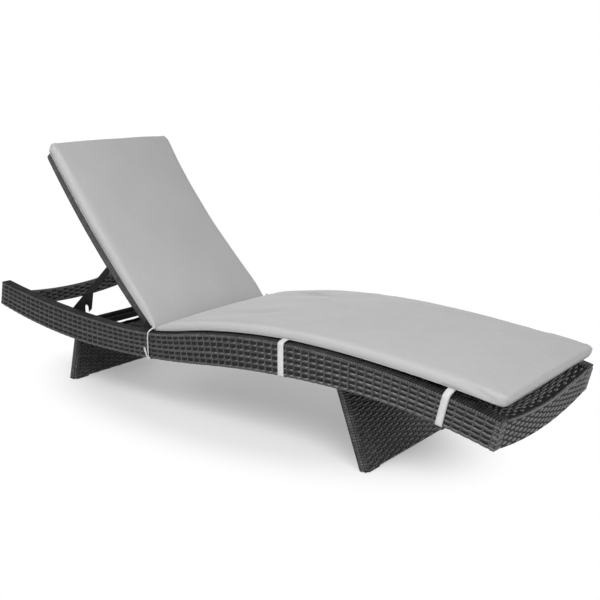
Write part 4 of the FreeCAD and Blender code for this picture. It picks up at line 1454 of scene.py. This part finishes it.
@dataclass
class HingeTie:
    """A narrow tape knotted at the cushion's corner and tied in a bow beside the rail."""

    side: Side
    form: StrandForm = StrandForm(width=0.0055, thickness=0.0022, bulge=0.0, sides=8)
    clear_outside: float = 0.0046
    clear_inside: float = 0.0040
    tilt: float = 0.15

    def lines(self) -> tuple[list[Triple], list[Triple], list[Triple]]:
        """Corners of the run round the rail, of the knot and of the bow, with Y as the distance outwards."""
        outer = FRAME.half_width + self.clear_outside
        inner = FRAME.inner - self.clear_inside
        run = [(-0.1870, 0.2625, 0.2780), (-0.1920, 0.2690, 0.2715), (-0.1980, 0.2745, 0.2660),
               (-0.2000, outer, 0.2570), (-0.2008, outer, 0.2340), (-0.2010, outer, 0.2070),
               (-0.2005, outer, 0.1850), (-0.2002, 0.2770, 0.1755), (-0.2000, 0.2600, 0.1745),
               (-0.2000, 0.2440, 0.1755), (-0.2000, inner, 0.1850), (-0.2000, inner, 0.2240)]
        knot = [(-0.1870, 0.2625, 0.2780), (-0.1835, 0.2655, 0.2810), (-0.1815, 0.2665, 0.2780),
                (-0.1835, 0.2665, 0.2745), (-0.1875, 0.2660, 0.2745), (-0.1905, 0.2650, 0.2780),
                (-0.1885, 0.2640, 0.2815), (-0.1845, 0.2630, 0.2820)]
        bow = [(-0.1970, outer, 0.1835), (-0.2010, outer + 0.0035, 0.1850), (-0.2070, outer + 0.0045, 0.1960),
               (-0.2130, outer + 0.0045, 0.2075), (-0.2125, outer + 0.0048, 0.2120),
               (-0.2080, outer + 0.0050, 0.2100), (-0.2045, outer + 0.0050, 0.1970),
               (-0.2010, outer + 0.0046, 0.1830), (-0.1970, outer + 0.0042, 0.1800),
               (-0.1930, outer + 0.0030, 0.1825), (-0.1895, outer + 0.0010, 0.1770)]
        return run, knot, bow

    def build(self) -> Object:
        """Builds the tie and seats it."""
        strands = Strands()
        for line in self.lines():
            path = smooth_path(line) * (1.0, self.side.value, 1.0)
            strands.add(path, np.array((0.0, self.side.value, self.tilt)))
        piece = strands.lay("tie_tape_" + self.side.tag, self.form, TAPE)
        return settle(piece, "frame", Slot.WEBBING, "tie_" + self.side.tag)


@dataclass
class CushionFold:
    """The strip of cover that joins the two cushion halves over the hinge."""

    half_width: float = 0.236
    seat_x: float = -0.176
    back_x: float = -0.220
    lift: float = 0.0075
    sag: float = 0.006
    steps: int = 13
    columns: int = 41

    def build(self) -> Object:
        """Builds the strip and bends it between the frame and the back."""
        start = TOP.lifted(self.seat_x, self.lift)[0]
        end = FRAME.raised(BACK.lifted(self.back_x, self.lift))[0]
        t = np.linspace(0, 1, self.steps)[:, None]
        line = start + (end - start) * t
        line[:, 2] -= self.sag * np.sin(np.pi * t[:, 0])
        y = np.linspace(-self.half_width, self.half_width, self.columns)
        points = (line[:, None] + ACROSS * y[None, :, None]).reshape(-1, 3)
        faces = [(i + j, i + j + 1, i + self.columns + j + 1, i + self.columns + j)
                 for i in range(0, (self.steps - 1) * self.columns, self.columns)
                 for j in range(self.columns - 1)]
        piece = plain_mesh("cushion_fold", points, faces, COVER.material(), points[:, :2])
        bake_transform(piece)
        return piece


@dataclass
class CadFinishes:
    """Finishes of the CAD nodes that stay in view."""

    frame: dict

    def dress(self) -> None:
        """Gives each node the finish of its material slot."""
        slots = {row["node"]: row["material_slot"] for row in self.frame["record"]["subparts"]}
        for name, node in self.frame["nodes"].items():
            finish = CAD_FINISH.get(Slot(slots[name]))
            if finish is not None:
                node.data.materials.clear()
                node.data.materials.append(finish.material())
        LOG.info("dressed %d CAD nodes", len(slots))


@dataclass(frozen=True)
class Lamp:
    """A soft square lamp that looks at the lounger; its size in metres, its power in watts."""

    name: str
    place: Triple
    size: float
    power: float
    aim: Triple = (0.0, 0.0, 0.3)

    def build(self) -> None:
        """Adds the lamp."""
        data = bpy.data.lights.new(self.name, "AREA")
        data.shape = "SQUARE"
        data.size = self.size
        data.energy = self.power
        light = put(self.name, data)
        light.location = self.place
        light.rotation_euler = (Vector(self.aim) - Vector(self.place)).to_track_quat("-Z", "Y").to_euler()


LAMPS = (Lamp("key", (-0.4, -1.9, 2.0), 1.3, 40.0), Lamp("low", (0.5, -3.5, 1.0), 1.8, 42.0),
         Lamp("front", (2.3, -1.6, 2.0), 1.4, 76.0), Lamp("foot", (2.3, 2.4, 1.5), 2.4, 30.0),
         Lamp("rear", (-1.5, 3.2, 0.8), 1.5, 50.0))


@dataclass
class Studio:
    """Pale floor, soft light and the camera."""

    camera_at: Triple = (1.8265, -2.0686, 1.0192)
    camera_turn: Triple = (76.166, 0.0, 38.645)
    lens: float = 54.41
    sensor: float = 36.0
    sky: float = 0.34
    floor_half: float = 30.0
    floor_tone: float = 0.45
    floor_glow: float = 0.26
    shade_middle: Triple = (-0.05, -0.02, 0.0)
    shade_reach: Triple = (0.90, 0.46, 1.0)
    shade_edge: Pair = (0.6, 1.05)

    def build(self) -> None:
        """Builds the floor, the lights, the sky and the camera."""
        self.build_floor()
        self.build_sky()
        for lamp in LAMPS:
            lamp.build()
        data = bpy.data.cameras.new("view")
        data.lens = self.lens
        data.sensor_width = self.sensor
        data.sensor_fit = "HORIZONTAL"
        camera = put("view", data)
        camera.location = self.camera_at
        camera.rotation_euler = [math.radians(angle) for angle in self.camera_turn]
        bpy.context.scene.camera = camera
        bpy.context.scene.view_settings.view_transform = "Standard"

    def build_floor(self) -> None:
        """The pale floor, white to the camera away from the lounger; round the lounger's footprint it keeps a
        darker tone, a painted shadow with the cast one on top.
        """
        material = bpy.data.materials.new("pale_floor")
        material.use_nodes = True
        material.node_tree.nodes.clear()
        nodes = Nodes(material.node_tree)
        path = nodes.add("ShaderNodeLightPath").outputs
        matte = nodes.add("ShaderNodeBsdfDiffuse", {"Color": (*grey(self.floor_tone), 1.0)})
        strength = nodes.math("MULTIPLY", path["Is Camera Ray"], self.floor_glow)
        glow = nodes.add("ShaderNodeEmission", {"Strength": strength})
        near = nodes.add("ShaderNodeAddShader", {0: matte.outputs[0], 1: glow.outputs[0]})
        white = nodes.add("ShaderNodeEmission")
        # Painted shadow: inside an ellipse round the lounger's footprint the camera sees the darker floor,
        # outside it white.
        far = nodes.add("ShaderNodeTexCoord").outputs["Object"]
        for operation, value in (("SUBTRACT", self.shade_middle), ("DIVIDE", self.shade_reach)):
            far = nodes.add("ShaderNodeVectorMath", {0: far, 1: value}, operation=operation).outputs[0]
        far = nodes.add("ShaderNodeVectorMath", {0: far}, operation="LENGTH").outputs["Value"]
        seen = nodes.math("MAXIMUM", path["Is Camera Ray"], path["Is Glossy Ray"])
        share = nodes.math("MULTIPLY", nodes.ramp(far, *self.shade_edge), seen)
        both = nodes.add("ShaderNodeMixShader", {0: share, 1: near.outputs[0], 2: white.outputs[0]})
        nodes.add("ShaderNodeOutputMaterial", {"Surface": both.outputs[0]})
        corners = np.array([(-1, -1, 0), (1, -1, 0), (1, 1, 0), (-1, 1, 0)]) * self.floor_half
        plain_mesh("floor", corners, [(0, 1, 2, 3)], material)

    def build_sky(self) -> None:
        """Even light from all round, white where the camera sees it."""
        world = bpy.data.worlds.new("studio")
        world.use_nodes = True
        nodes = Nodes(world.node_tree)
        path = nodes.add("ShaderNodeLightPath").outputs
        seen = nodes.math("MAXIMUM", path["Is Camera Ray"], path["Is Transmission Ray"])
        strength = nodes.ramp(seen, 0.0, 1.0, self.sky, 1.0)
        nodes.feed(world.node_tree.nodes["Background"], {"Color": (*grey(1.0), 1.0), "Strength": strength})
        bpy.context.scene.world = world


def main() -> None:
    """Builds the studio and every sub-assembly, in order."""
    logging.basicConfig(level=logging.INFO, format="%(name)s: %(message)s")
    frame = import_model()
    Studio().build()
    CadFinishes(frame).dress()
    for side in Side:
        SideRail(side).build()
    EndBands().build()
    Deck("seat_deck", "seat_weave", "frame", start_x=0.974, end_x=-0.172, half_span=FRAME.inner, drop=0.008,
         dish=0.022).build()
    Deck("back_deck", "back_weave", "back", start_x=-0.220, end_x=-0.916, half_span=0.211, drop=0.0025,
         dish=0.007, edge=BACK, propped=True).build()
    BackEdges().build()
    LegBoard("front_leg", foot_x=0.57133, pivot_z=0.271, lean=20.3, way=1.0).build()
    LegBoard("rear_leg", foot_x=-0.65533, pivot_z=0.192, lean=14.5, way=-1.0).build()
    CushionHalf("seat_pad", "seat_cushion", "frame", start_x=-0.184, end_x=0.974, foot_rise=0.024,
                strap_places=(0.328, 0.832)).build()
    CushionHalf("back_pad", "back_cushion", "back", start_x=-0.211, end_x=-0.930, edge=BACK, half_width=0.256,
                propped=True, along=110).build()
    CushionFold().build()
    for side in Side:
        Strap("middle", side, x=0.328, slant=0.0).build()
        Strap("foot", side, x=0.826, slant=0.018, ribs=2, rib_height=0.0002, rise=0.0108).build()
        HingeTie(side).build()


if __name__ == "__main__":
    main()
